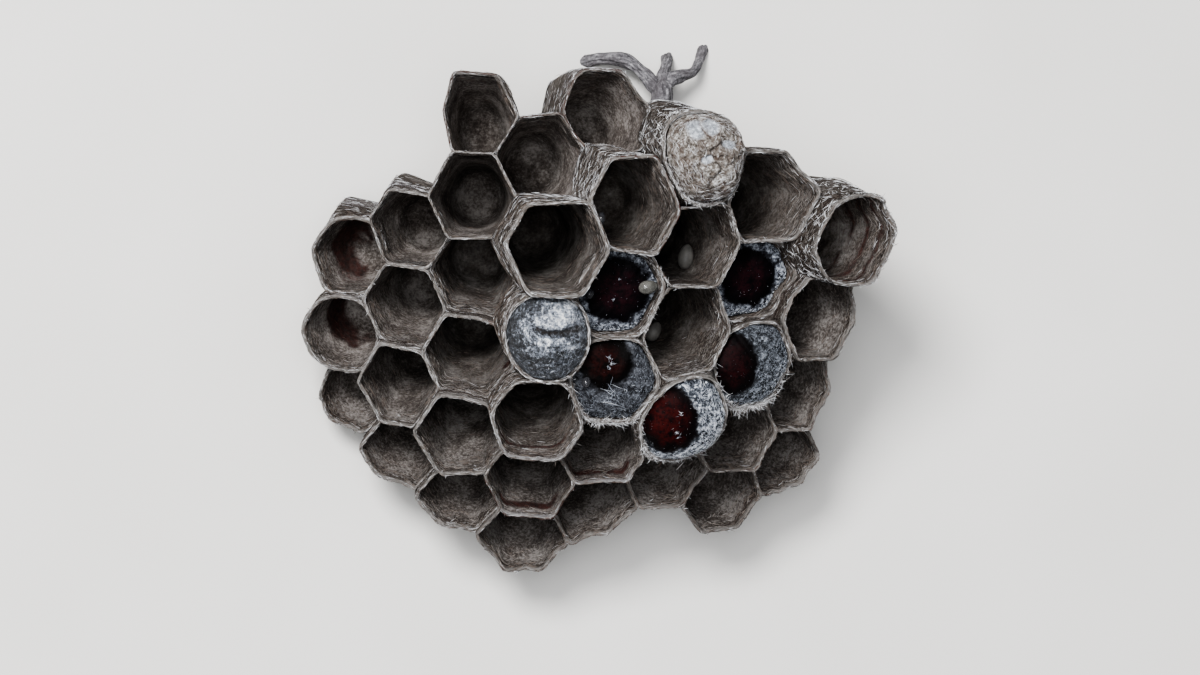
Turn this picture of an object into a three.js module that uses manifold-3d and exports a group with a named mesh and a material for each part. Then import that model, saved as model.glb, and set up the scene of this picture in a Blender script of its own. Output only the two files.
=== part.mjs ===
// The comb of a small paper wasp: open six-sided paper cells on a domed back, silk caps on the cells
// that hold pupae, eggs, and the stalk and holdfast strands that it hung by. It lies on its back.
// Millimetres, +Z up. The floor is z = 0, and the stalk is on the +Y side.
import * as THREE from "three";
import { mergeVertices } from "three/addons/utils/BufferGeometryUtils.js";
import Module from "manifold-3d";

const wasm = await Module();
wasm.setup();

// ---- Driving dimensions -------------------------------------------------------------------------

// Cell walls fan out from one point, the dome centre, and every radius below is a distance from it.
const PITCH = 4.86; // from cell to cell across the flats, at the radius of an average mouth
const MOUTH_RADIUS = 33;
const BACK_RADIUS = 21.6; // where the middle cells start
const EDGE_BACK_STEP = 0.13; // cells further out start this much further out per squared pitch
const POLE = { column: 4, row: -1 }; // the place on the comb that the comb's axis goes through
const AXIS_LEAN = 14.5; // degrees from straight up towards -Y
const DOME_CENTRE = new THREE.Vector3(0.2, 6.75, -17.45);

const WALL = 0.3; // paper between two cells
const FLOOR = 0.5; // paper under a cell
const FLOOR_CUT = 0.28; // how much of the bottoms that the comb lies on is cut away by the floor
const BOTTOM_CURVE = 1.7; // the length over which a cell's rounded bottom reaches full width
const OUTER_CORNER_PULL = 0.1; // corners with no neighbour are drawn in by this share
const TOP_FLARE = 0.3; // how far the back reaches out past the lips on the stalk's side, in pitches
const CORNER_WANDER = 0.05; // how far shared corners stray, in pitches
const GAP = 0.1; // between pieces that touch

// Columns are numbered from -X, and rows are counted in half pitches, because columns are staggered.
// mouth is the radius of the cell's lip, in half millimetres. shift moves a cell that strays from the
// lattice, in pitches. rests marks the cells that the comb lies on. depth is given where old waste has
// raised a cell's floor.
const CELLS = {
  A1: { column: 0, row: 0, mouth: 28.5, shift: [0.06, 0] },
  A2: { column: 0, row: -2, mouth: 29.5 },
  A3: { column: 0, row: -4, mouth: 28, shift: [0.14, -0.16], rests: true },
  B1: { column: 1, row: 1, mouth: 30 },
  B2: { column: 1, row: -1, mouth: 30 },
  B3: { column: 1, row: -3, mouth: 31 },
  B4: { column: 1, row: -5, mouth: 30, shift: [0.06, -0.08] },
  C0: { column: 2, row: 4, mouth: 31 },
  C1: { column: 2, row: 2, mouth: 32 },
  C2: { column: 2, row: 0, mouth: 29.5 },
  C3: { column: 2, row: -2, mouth: 31 },
  C4: { column: 2, row: -4, mouth: 32 },
  C5: { column: 2, row: -6, mouth: 31, shift: [0, -0.06], rests: true },
  D1: { column: 3, row: 3, mouth: 30.5, shift: [-0.04, 0.08] },
  D2: { column: 3, row: 1, mouth: 35.5 },
  D3: { column: 3, row: -1, mouth: 34, shift: [0.06, -0.03] },
  D4: { column: 3, row: -3, mouth: 34 },
  D5: { column: 3, row: -5, mouth: 32.5 },
  D6: { column: 3, row: -7, mouth: 31.5, shift: [0.05, -0.08], rests: true },
  E1: { column: 4, row: 4, mouth: 30.5, shift: [-0.12, 0.14] },
  E2: { column: 4, row: 2, mouth: 34.5, depth: 8.2 },
  E3: { column: 4, row: 0, mouth: 33 },
  E4: { column: 4, row: -2, mouth: 33, shift: [-0.05, -0.05] },
  E5: { column: 4, row: -4, mouth: 32.5 },
  E6: { column: 4, row: -6, mouth: 31.5 },
  F1: { column: 5, row: 3, mouth: 34 },
  F2: { column: 5, row: 1, mouth: 33.5 },
  F3: { column: 5, row: -1, mouth: 33 },
  F4: { column: 5, row: -3, mouth: 33.5, shift: [0.02, -0.1] },
  F5: { column: 5, row: -5, mouth: 31.5 },
  G1: { column: 6, row: 2, mouth: 33.5 },
  G2: { column: 6, row: 0, mouth: 31.5 },
  G3: { column: 6, row: -2, mouth: 32.5 },
  G4: { column: 6, row: -4, mouth: 32 },
  G5: { column: 6, row: -6, mouth: 31.5, rests: true },
  H1: { column: 7, row: 1, mouth: 35.5, shift: [0.05, 0.04] },
  H2: { column: 7, row: -1, mouth: 33 },
  H3: { column: 7, row: -3, mouth: 32, shift: [-0.06, -0.05] },
  H4: { column: 7, row: -5, mouth: 31.5, rests: true },
};

// Caps: seat is how far the cap's edge lies under the lip (negative is above it), rise is how far its
// middle bulges out past its edge.
const CAP_THICKNESS = 0.5;
const CAPS = {
  cap_silk_dome: { cell: "D3", seat: 0.1, rise: 1.7, colour: 0xb4bcc6 },
  cap_paper_dome: { cell: "F1", seat: 0.2, rise: 1.9, colour: 0x9c978e },
  cap_dark_upper: { cell: "E3", seat: 1.1, rise: 0.5, colour: 0x2b2228 },
  cap_dark_lower: { cell: "E4", seat: 0.5, rise: 0.9, colour: 0x4d464c },
  cap_red: { cell: "F4", seat: 0.3, rise: 1.3, colour: 0x5c2a26 },
  cap_dark_right: { cell: "G2", seat: 0.9, rise: 0.5, colour: 0x35292f },
  cap_grey_right: { cell: "G3", seat: 0.5, rise: 0.9, colour: 0x6a6468 },
};

// Eggs: across and up place the egg in its cell, as shares of the way from its middle to its wall, and
// depth is how far it sits under the lip.
const EGGS = {
  egg_by_dark_cap: { cell: "E3", across: 0.66, up: 0.12, depth: 0.1, length: 1.1, width: 0.75, turn: 12 },
  egg_in_corner: { cell: "E3", across: -0.7, up: -0.05, depth: 0.2, length: 0.6, width: 0.5, turn: 60 },
  egg_by_lower_cap: { cell: "E4", across: -0.68, up: 0.05, depth: -0.55, length: 0.6, width: 0.5, turn: 70 },
  egg_tall_cell: { cell: "E2", across: -0.55, up: -0.4, depth: 1.5, length: 0.7, width: 0.45, turn: 80 },
  egg_deep_upper: { cell: "F2", across: 0.5, up: -0.45, depth: 4.6, length: 1.3, width: 0.8, turn: 80 },
  egg_deep_lower: { cell: "F3", across: -0.1, up: -0.6, depth: 5, length: 1.2, width: 0.8, turn: 60 },
};

// The stalk and strands run through these points. The strands end on the floor.
const STALK = {
  path: [[3.2, 6.4, 5.4], [3.9, 8, 3.9], [4.7, 9.9, 3.3], [5.4, 11.4, 2.9], [5.6, 12.7, 2.5]],
  radii: [1.3, 0.85, 0.64, 0.62, 0.64],
};
const STRANDS = {
  holdfast_middle: {
    path: [[5.7, 13.1, 2.2], [5.95, 13.5, 1.7], [6.3, 14, 0.9], [6.6, 14.4, -0.3]],
    radii: [0.4, 0.34, 0.34, 0.38],
  },
  holdfast_left: {
    path: [[5, 12.75, 2.4], [4.4, 13.6, 2], [3.7, 14.1, 1.5], [2.5, 14.3, 0.9], [1.6, 14.3, -0.3]],
    radii: [0.4, 0.38, 0.38, 0.38, 0.4],
  },
  holdfast_right: {
    path: [[6.1, 13, 2.3], [6.9, 13.3, 1.9], [7.7, 13.6, 1.4], [8.3, 14.1, 0.8], [8.8, 15, -0.3]],
    radii: [0.4, 0.34, 0.3, 0.28, 0.34],
  },
};
const ROPE_SIDES = 8;
const ROPE_STEPS = 10;

// ---- From the plan of the comb to its domed shape -----------------------------------------------

const OUTSIDE = 1 + WALL / PITCH; // a cell's outer and inner width against the lattice
const INSIDE = 1 - WALL / PITCH;
const BOTTOM = [[0, 0.5], [0.2, 0.8], [1, 1]]; // share of BOTTOM_CURVE, share of the width
const COLUMN_STEP = Math.sqrt(3) / 2; // columns are this many pitches apart
const CORNER_REACH = 1 / Math.sqrt(3); // from a cell's middle to its corners, in pitches
const PITCH_ANGLE = PITCH / MOUTH_RADIUS;

// A cell's middle on the flat plan, in pitches from the pole.
function middleOf({ column, row }) {
  return new THREE.Vector2((column - POLE.column) * COLUMN_STEP, (row - POLE.row) / 2);
}

// A point of the plan, carried out along its own direction from the dome centre to the given radius.
function onDome(plan, radius) {
  const away = plan.length() * PITCH_ANGLE;
  const turn = Math.atan2(plan.y, plan.x);
  return new THREE.Vector3(Math.sin(away) * Math.cos(turn), Math.sin(away) * Math.sin(turn), Math.cos(away))
    .applyAxisAngle(new THREE.Vector3(1, 0, 0), THREE.MathUtils.degToRad(AXIS_LEAN))
    .multiplyScalar(radius)
    .add(DOME_CENTRE);
}

// A repeatable number from -1 to 1 for a place on the plan.
function wander(plan, salt) {
  const mixed = Math.sin(Math.round(plan.x * 6) * 12.9898 + Math.round(plan.y * 6) * 78.233 + salt) * 437.5453;
  return 2 * (mixed - Math.floor(mixed)) - 1;
}

// A cell's corner on the plan, at the lip. Cells that share a corner get the same point. flare carries
// a corner of the comb's stalk side outwards, from 0 at the lip to 1 at the back.
function cornerOf(cell, index, flare) {
  const turn = (index * Math.PI) / 3;
  const corner = new THREE.Vector2(Math.cos(turn), Math.sin(turn))
    .multiplyScalar(CORNER_REACH)
    .add(middleOf(cell));
  const owners = Object.values(CELLS).filter((owner) => middleOf(owner).distanceTo(corner) < CORNER_REACH + 0.1);
  const centre = new THREE.Vector2();
  const shift = new THREE.Vector2();
  for (const owner of owners) {
    centre.addScaledVector(middleOf(owner), 1 / owners.length);
    shift.addScaledVector(new THREE.Vector2(...(owner.shift ?? [0, 0])), 1 / owners.length);
  }
  const outward = corner.clone().sub(centre);
  const open = 3 - owners.length;
  const spread = outward.y > 0.1 && open ? TOP_FLARE * flare : (-open / 2) * OUTER_CORNER_PULL;
  return corner
    .add(shift)
    .add(new THREE.Vector2(wander(corner, 0), wander(corner, 5)).multiplyScalar(CORNER_WANDER))
    .addScaledVector(outward, spread / CORNER_REACH);
}

// The radius of a cell's bottom. A resting cell dips FLOOR_CUT under the floor, and no other cell dips.
function backOf(cell) {
  const natural = BACK_RADIUS + EDGE_BACK_STEP * middleOf(cell).lengthSq();
  const dip = cell.rests ? FLOOR_CUT : 0;
  const touching = BOTTOM.flatMap(([share, width]) =>
    [0, 1, 2, 3, 4, 5].map((index) => {
      const corner = hubOf(cell).lerp(cornerOf(cell, index, share), width * OUTSIDE);
      const rise = onDome(corner, 1).z - DOME_CENTRE.z;
      return (-dip - DOME_CENTRE.z) / rise - share * BOTTOM_CURVE;
    }),
  );
  const lowest = Math.max(...touching);
  return cell.rests ? lowest : Math.max(natural, lowest);
}

// ---- Solids -------------------------------------------------------------------------------------

function solidOf(geometry) {
  const bare = geometry.clone().deleteAttribute("normal").deleteAttribute("uv");
  const merged = mergeVertices(bare, 1e-4);
  return new wasm.Manifold(
    new wasm.Mesh({
      numProp: 3,
      vertProperties: new Float32Array(merged.attributes.position.array),
      triVerts: new Uint32Array(merged.index.array),
    }),
  );
}

function geometryOf(solid) {
  const mesh = solid.getMesh();
  const geometry = new THREE.BufferGeometry();
  geometry.setAttribute("position", new THREE.BufferAttribute(mesh.vertProperties, 3));
  geometry.setIndex(new THREE.BufferAttribute(mesh.triVerts, 1));
  geometry.computeVertexNormals();
  return geometry;
}

// Moves every vertex of a geometry to where the function puts it.
function reshape(geometry, placed) {
  const position = geometry.attributes.position;
  for (let n = 0; n < position.count; n++) {
    const target = placed(new THREE.Vector3().fromBufferAttribute(position, n));
    position.setXYZ(n, target.x, target.y, target.z);
  }
  return geometry;
}

// A point of the cell's plan at an angle, on its corner or half way between two corners.
function onRim(cell, turn, flare = 0) {
  const halves = (Math.round(turn / (Math.PI / 6)) + 12) % 12;
  const corner = cornerOf(cell, Math.floor(halves / 2), flare);
  return halves % 2 ? corner.lerp(cornerOf(cell, (halves + 1) / 2, flare), 0.5) : corner;
}

// The middle of a cell's corners.
function hubOf(cell) {
  const corners = [0, 1, 2, 3, 4, 5].map((index) => cornerOf(cell, index, 0));
  return corners.reduce((sum, corner) => sum.addScaledVector(corner, 1 / 6), new THREE.Vector2());
}

// A six-sided body that follows a cell. Each level is a radius, a share of the cell's width and a flare.
function cellBody(cell, levels) {
  const tube = new THREE.CylinderGeometry(1, 1, 1, 6, levels.length - 1, false, Math.PI / 2);
  return reshape(tube, (point) => {
    const [radius, width, flare] = levels[Math.round((point.y + 0.5) * (levels.length - 1))];
    const fromMiddle = Math.hypot(point.x, point.z);
    const rim = onRim(cell, Math.atan2(-point.z, point.x), flare);
    return onDome(hubOf(cell).lerp(rim, fromMiddle * width), radius);
  });
}

function cellOutside(cell) {
  const back = backOf(cell);
  const levels = BOTTOM.map(([share, width]) => [back + share * BOTTOM_CURVE, width * OUTSIDE, share]);
  return solidOf(cellBody(cell, [...levels, [cell.mouth, OUTSIDE, 0]]));
}

function cellInside(cell) {
  const floor = cell.depth ? cell.mouth - cell.depth : backOf(cell) + FLOOR;
  const levels = BOTTOM.map(([share, width]) => [floor + share * BOTTOM_CURVE, width * INSIDE, 0]);
  return solidOf(cellBody(cell, [...levels, [cell.mouth + 2, INSIDE, 0]]));
}

const BOX_SIDE = 80;
const underFloor = solidOf(new THREE.BoxGeometry(BOX_SIDE, BOX_SIDE, BOX_SIDE).translate(0, 0, -BOX_SIDE / 2));

function joined(solids) {
  return solids.reduce((sum, solid) => sum.add(solid));
}

const combOutside = joined(Object.values(CELLS).map(cellOutside));

function comb() {
  return combOutside.subtract(joined(Object.values(CELLS).map(cellInside))).subtract(underFloor);
}

// A lens that closes a cell's mouth. Its upper side bulges by rise.
function cap({ cell, seat, rise }) {
  const { mouth } = CELLS[cell];
  const width = INSIDE - (2 * GAP) / PITCH;
  const lens = reshape(new THREE.SphereGeometry(1, 12, 8), (point) => {
    const under = point.y < 0 ? CAP_THICKNESS : 0;
    const rim = onRim(CELLS[cell], Math.atan2(-point.z, point.x));
    const plan = hubOf(CELLS[cell]).lerp(rim, Math.hypot(point.x, point.z) * width);
    return onDome(plan, mouth - seat + (rise - under) * Math.abs(point.y));
  });
  return solidOf(lens);
}

function egg({ cell, across, up, depth, length, width, turn }) {
  const plan = hubOf(CELLS[cell]).add(new THREE.Vector2(across, up).divideScalar(2));
  const place = onDome(plan, CELLS[cell].mouth - depth);
  const body = new THREE.SphereGeometry(0.5, 10, 8).scale(length, width, width);
  body.rotateZ(THREE.MathUtils.degToRad(turn)).translate(place.x, place.y, place.z);
  return solidOf(body);
}

// A round rope along a smooth curve, with its own radius at each of the curve's points.
function rope({ path, radii }, extra = 0) {
  const curve = new THREE.CatmullRomCurve3(path.map((point) => new THREE.Vector3(...point)));
  const frames = curve.computeFrenetFrames(ROPE_STEPS);
  const bar = new THREE.CylinderGeometry(1, 1, 1, ROPE_SIDES, ROPE_STEPS);
  const bent = reshape(bar, (point) => {
    const step = Math.round((point.y + 0.5) * ROPE_STEPS);
    const along = (step / ROPE_STEPS) * (radii.length - 1);
    const before = Math.min(Math.floor(along), radii.length - 2);
    const radius = THREE.MathUtils.lerp(radii[before], radii[before + 1], along - before) + extra;
    return curve
      .getPoint(step / ROPE_STEPS)
      .addScaledVector(frames.normals[step], point.z * radius)
      .addScaledVector(frames.binormals[step], point.x * radius);
  });
  return solidOf(bent);
}

function stalk() {
  return rope(STALK).subtract(combOutside.translate([0, 0, -GAP]));
}

function strand(name) {
  let solid = rope(STRANDS[name]).subtract(rope(STALK, GAP)).subtract(underFloor);
  for (const other of Object.keys(STRANDS)) {
    if (other === name) break;
    solid = solid.subtract(rope(STRANDS[other], GAP));
  }
  return solid;
}

// ---- The nest -----------------------------------------------------------------------------------

const PAPER = { color: 0x8f8a84, roughness: 0.9, metalness: 0 };
const STALK_FIBRE = { color: 0x8d8c8a, roughness: 0.8, metalness: 0 };
const EGG_SHELL = { color: 0xd9d4c6, roughness: 0.3, metalness: 0 };
const SILK = { roughness: 0.55, metalness: 0 };

const nest = new THREE.Group();

function add(name, solid, finish) {
  const mesh = new THREE.Mesh(geometryOf(solid), new THREE.MeshStandardMaterial(finish));
  mesh.name = name;
  nest.add(mesh);
}

add("comb", comb(), PAPER);
add("stalk", stalk(), STALK_FIBRE);
for (const name of Object.keys(STRANDS)) add(name, strand(name), STALK_FIBRE);
for (const [name, made] of Object.entries(CAPS)) add(name, cap(made), { ...SILK, color: made.colour });
for (const [name, made] of Object.entries(EGGS)) add(name, egg(made), EGG_SHELL);

export default nest;
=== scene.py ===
"""The comb of a small paper wasp, laid on its back.

Everything is worked out in millimetres on the comb's own dome and brought to metres as each mesh is made.
"""
import math
from itertools import product

import bmesh
import bpy
import numpy as np
from mathutils import Matrix, Vector


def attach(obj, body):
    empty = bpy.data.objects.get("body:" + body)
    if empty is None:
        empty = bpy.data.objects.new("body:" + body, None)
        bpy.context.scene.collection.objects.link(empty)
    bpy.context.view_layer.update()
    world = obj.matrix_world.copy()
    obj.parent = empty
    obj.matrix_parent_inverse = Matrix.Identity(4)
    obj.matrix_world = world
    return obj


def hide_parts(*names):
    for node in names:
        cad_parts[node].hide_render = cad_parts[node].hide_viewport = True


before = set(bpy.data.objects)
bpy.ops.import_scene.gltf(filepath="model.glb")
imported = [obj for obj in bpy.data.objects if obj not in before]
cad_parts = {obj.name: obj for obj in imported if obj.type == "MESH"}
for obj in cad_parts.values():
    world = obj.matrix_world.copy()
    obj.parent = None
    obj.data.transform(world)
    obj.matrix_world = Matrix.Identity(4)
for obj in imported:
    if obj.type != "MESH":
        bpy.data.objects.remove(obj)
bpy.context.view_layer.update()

MM = 0.001

# ---- Driving dimensions of the comb ----------------------------------------------------------------

PITCH = 4.86  # from cell to cell across the flats, at the radius of an average mouth
MOUTH_RADIUS = 33.0
BACK_RADIUS = 21.6  # where the middle cells start
EDGE_BACK_STEP = 0.13  # cells further out start this much further out per squared pitch
POLE_COLUMN, POLE_ROW = 4, -1
AXIS_LEAN = math.radians(14.5)
DOME_CENTRE = np.array([0.2, 6.75, -17.45])

WALL = 0.3
FLOOR = 0.5
FLOOR_CUT = 0.28
BOTTOM_CURVE = 1.7
OUTER_CORNER_PULL = 0.1
TOP_FLARE = 0.3
CORNER_WANDER = 0.05
OUTSIDE = 1 + WALL / PITCH
INSIDE = 1 - WALL / PITCH
COLUMN_STEP = math.sqrt(3) / 2
CORNER_REACH = 1 / math.sqrt(3)
PITCH_ANGLE = PITCH / MOUTH_RADIUS
PERIMETER = PITCH * 6 * CORNER_REACH

# name: column, row, radius of the lip, stray from the lattice, whether the comb lies on it, cell depth
CELLS = {
    "A1": (0, 0, 28.5, (0.06, 0)),
    "A2": (0, -2, 29.5),
    "A3": (0, -4, 28, (0.14, -0.16), True),
    "B1": (1, 1, 30),
    "B2": (1, -1, 30),
    "B3": (1, -3, 31),
    "B4": (1, -5, 30, (0.06, -0.08)),
    "C0": (2, 4, 31),
    "C1": (2, 2, 32),
    "C2": (2, 0, 29.5),
    "C3": (2, -2, 31),
    "C4": (2, -4, 32),
    "C5": (2, -6, 31, (0, -0.06), True),
    "D1": (3, 3, 30.5, (-0.04, 0.08)),
    "D2": (3, 1, 35.5),
    "D3": (3, -1, 34, (0.06, -0.03)),
    "D4": (3, -3, 34),
    "D5": (3, -5, 32.5),
    "D6": (3, -7, 31.5, (0.05, -0.08), True),
    "E1": (4, 4, 30.5, (-0.12, 0.14)),
    "E2": (4, 2, 34.5, (0, 0), False, 8.2),
    "E3": (4, 0, 33),
    "E4": (4, -2, 33, (-0.05, -0.05)),
    "E5": (4, -4, 32.5),
    "E6": (4, -6, 31.5),
    "F1": (5, 3, 34),
    "F2": (5, 1, 33.5),
    "F3": (5, -1, 33),
    "F4": (5, -3, 33.5, (0.02, -0.1)),
    "F5": (5, -5, 31.5),
    "G1": (6, 2, 33.5),
    "G2": (6, 0, 31.5),
    "G3": (6, -2, 32.5),
    "G4": (6, -4, 32),
    "G5": (6, -6, 31.5, (0, 0), True),
    "H1": (7, 1, 35.5, (0.05, 0.04)),
    "H2": (7, -1, 33),
    "H3": (7, -3, 32, (-0.06, -0.05)),
    "H4": (7, -5, 31.5, (0, 0), True),
}

# ---- How the paper is finished ---------------------------------------------------------------------

AROUND = 96  # steps around a cell
LIP_BLEND = 0.35  # how far a lip follows its neighbours' lips
LIP_SAG = 0.1  # how far a lip dips between two corners
LIP_WAVE = 0.11
LIP_FRAY = 0.035
LIP_ROUND = 0.12  # height of the rounded edge
LIP_WIDTH = 0.62  # how thick a lip is, as a share of the wall under it
LOW_LIP_WIDTH = 0.68  # the same for the low cells of the left columns
LOW_COLUMNS = "ABC"
THIN_LIP_WIDTH = 0.4  # and for the cells whose lips are fine lines
THIN_LIPS = ("B1", "C0", "C1", "D1", "E1", "F2", "F3")
HIGHEST_DROP = 6.0  # the most that a cell is taken to stand over its neighbour
COLLAR = 3.8  # the length of wall that tapers towards the lip of a tall cell
LOW_COLLAR = 0.8  # the same for the other cells
# Cells whose walls stand free: how much the mouth draws in, how far it leans to +X and +Y, in pitches,
# and how far the collar bulges over the lower cells on its -X side, as a share of its width.
COLLARS = {
    "D2": (0.04, 0.06, -0.02, 0.12),
    "D3": (-0.13, 0.035, 0.03, 0.08),
    "D4": (0.03, 0.0, 0.0, 0.06),
    "E2": (0.05, 0.04, -0.03, 0.16),
    "F1": (0.06, 0.05, -0.02, 0.16),
    "H1": (0.04, 0.03, -0.05, 0.06),
}
BULGE_FACES = math.radians(155)  # the direction that the bulge faces, from +X
# corners of the lattice that stand aside, in pitches, for all the cells that share them
CORNER_SHIFTS = {
    ("A1", 1): (0.0, 0.06),
    ("A1", 2): (-0.07, 0.1),
    ("A1", 3): (-0.1, 0.02),
    ("A1", 4): (-0.055, 0.0),
    ("A2", 3): (-0.1, 0.0),
    ("A2", 4): (-0.06, 0.0),
    ("A3", 3): (-0.05, -0.02),
    ("A3", 4): (-0.03, -0.07),
    ("D1", 2): (-0.05, 0.0),
    ("D1", 3): (-0.08, -0.02),
    ("D1", 4): (-0.05, -0.03),
    ("D2", 1): (0.02, 0.0),
    ("D2", 5): (0.02, 0.0),
    ("D4", 2): (-0.04, -0.03),
    ("D4", 3): (-0.05, -0.03),
    ("D4", 4): (-0.05, -0.09),
    ("D4", 5): (-0.05, -0.1),
    ("E2", 0): (0.03, -0.06),
    ("E2", 4): (0.03, -0.045),
    ("E2", 5): (0.02, -0.07),
    ("E4", 0): (-0.06, -0.03),
    ("E4", 1): (-0.05, -0.03),
    ("E4", 2): (-0.06, -0.03),
    ("E4", 3): (-0.07, -0.03),
    ("E4", 4): (-0.06, -0.09),
    ("E4", 5): (-0.06, -0.08),
    ("F4", 0): (-0.04, -0.02),
    ("F4", 1): (-0.06, 0.01),
    ("F4", 4): (-0.06, -0.09),
    ("F4", 5): (0.0, -0.08),
    ("G3", 2): (-0.06, 0.0),
    ("G5", 0): (0.07, -0.05),
    ("G5", 4): (0.02, -0.06),
    ("G5", 5): (0.06, -0.09),
    ("H1", 0): (0.08, 0.0),
    ("H1", 1): (0.06, 0.05),
    ("H1", 5): (0.05, -0.03),
    ("H4", 0): (0.07, 0.0),
    ("H4", 5): (0.09, -0.04),
}
# single corners of a mouth that are pulled aside, in pitches
MOUTH_PULLS = {
    ("E2", 2): (0.14, -0.07),
    ("D3", 1): (0.0, -0.035),
    ("D3", 2): (0.0, -0.035),
    ("D3", 4): (0.0, -0.05),
    ("D3", 5): (0.0, -0.05),
}
# how far a mouth's corners are rounded, as a share of the way around the cell
SHARP_MOUTH = 0.014
ROUND_MOUTHS = {
    "A1": 0.035,
    "A2": 0.05,
    "A3": 0.045,
    "D3": 0.09,
    "D4": 0.03,
    "E1": 0.03,
    "E3": 0.035,
    "E4": 0.035,
    "F1": 0.05,
    "F4": 0.055,
    "G2": 0.035,
    "G3": 0.05,
    "H1": 0.04,
}

LOOP = 240  # points of the fine loop that a cell's outline is kept as
SCRAMBLE = np.array([12.9898, 78.233, 37.719])  # turns a place into a number that looks random


def hashed(at, salt):
    """A repeatable number from -1 to 1 for each whole-number place."""
    mixed = np.sin(at @ SCRAMBLE[: at.shape[1]] + salt * 7.13) * 43758.5453
    return 2 * (mixed - np.floor(mixed)) - 1


def drift(points, size, salt=0):
    """Smooth random values from -1 to 1 that change over about the given size."""
    points = np.asarray(points, float) / size
    shape = points.shape[:-1]
    points = points.reshape(-1, points.shape[-1])
    base = np.floor(points)
    share = points - base
    share = share * share * (3 - 2 * share)
    total = np.zeros(len(points))
    for corner in product((0, 1), repeat=points.shape[1]):
        weight = np.prod(np.where(np.array(corner), share, 1 - share), axis=1)
        total += weight * hashed(base + np.array(corner), salt)
    return total.reshape(shape)


def smooth(value, low=0.0, high=1.0):
    """0 up to the low value, 1 from the high one, and a soft step between them."""
    share = np.clip((np.asarray(value, float) - low) / (high - low), 0, 1)
    return share * share * (3 - 2 * share)


def unit(vectors):
    """The same directions, each with a length of one."""
    return vectors / (np.linalg.norm(vectors, axis=-1, keepdims=True) + 1e-12)


def on_ring(turn, radius, height):
    """Places on a ring, where drift has no seam."""
    return np.stack([np.cos(turn) * radius, np.sin(turn) * radius, height], axis=-1)


def apart(around, middle):
    """How far places around a cell are from one of them, as a share of the way around."""
    return np.abs((around - middle + 0.5) % 1 - 0.5)


def on_dome(plan, radius):
    """Points of the plan, in pitches from the pole, carried out to the radius, in millimetres."""
    away = np.hypot(plan[..., 0], plan[..., 1]) * PITCH_ANGLE
    turn = np.arctan2(plan[..., 1], plan[..., 0])
    x, y, z = np.sin(away) * np.cos(turn), np.sin(away) * np.sin(turn), np.cos(away)
    lean_cos, lean_sin = math.cos(AXIS_LEAN), math.sin(AXIS_LEAN)
    direction = np.stack([x, y * lean_cos - z * lean_sin, y * lean_sin + z * lean_cos], axis=-1)
    return direction * np.asarray(radius)[..., None] + DOME_CENTRE


def rounded(loop, reach):
    """A closed loop with its corners rounded over the given share of its length."""
    waves = np.fft.fftfreq(LOOP, 1 / LOOP)
    fade = np.exp(-((waves * reach * math.tau) ** 2) / 2)
    line = np.fft.ifft(np.fft.fft(loop[:, 0] + 1j * loop[:, 1]) * fade)
    return np.stack([line.real, line.imag], axis=1)


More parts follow.
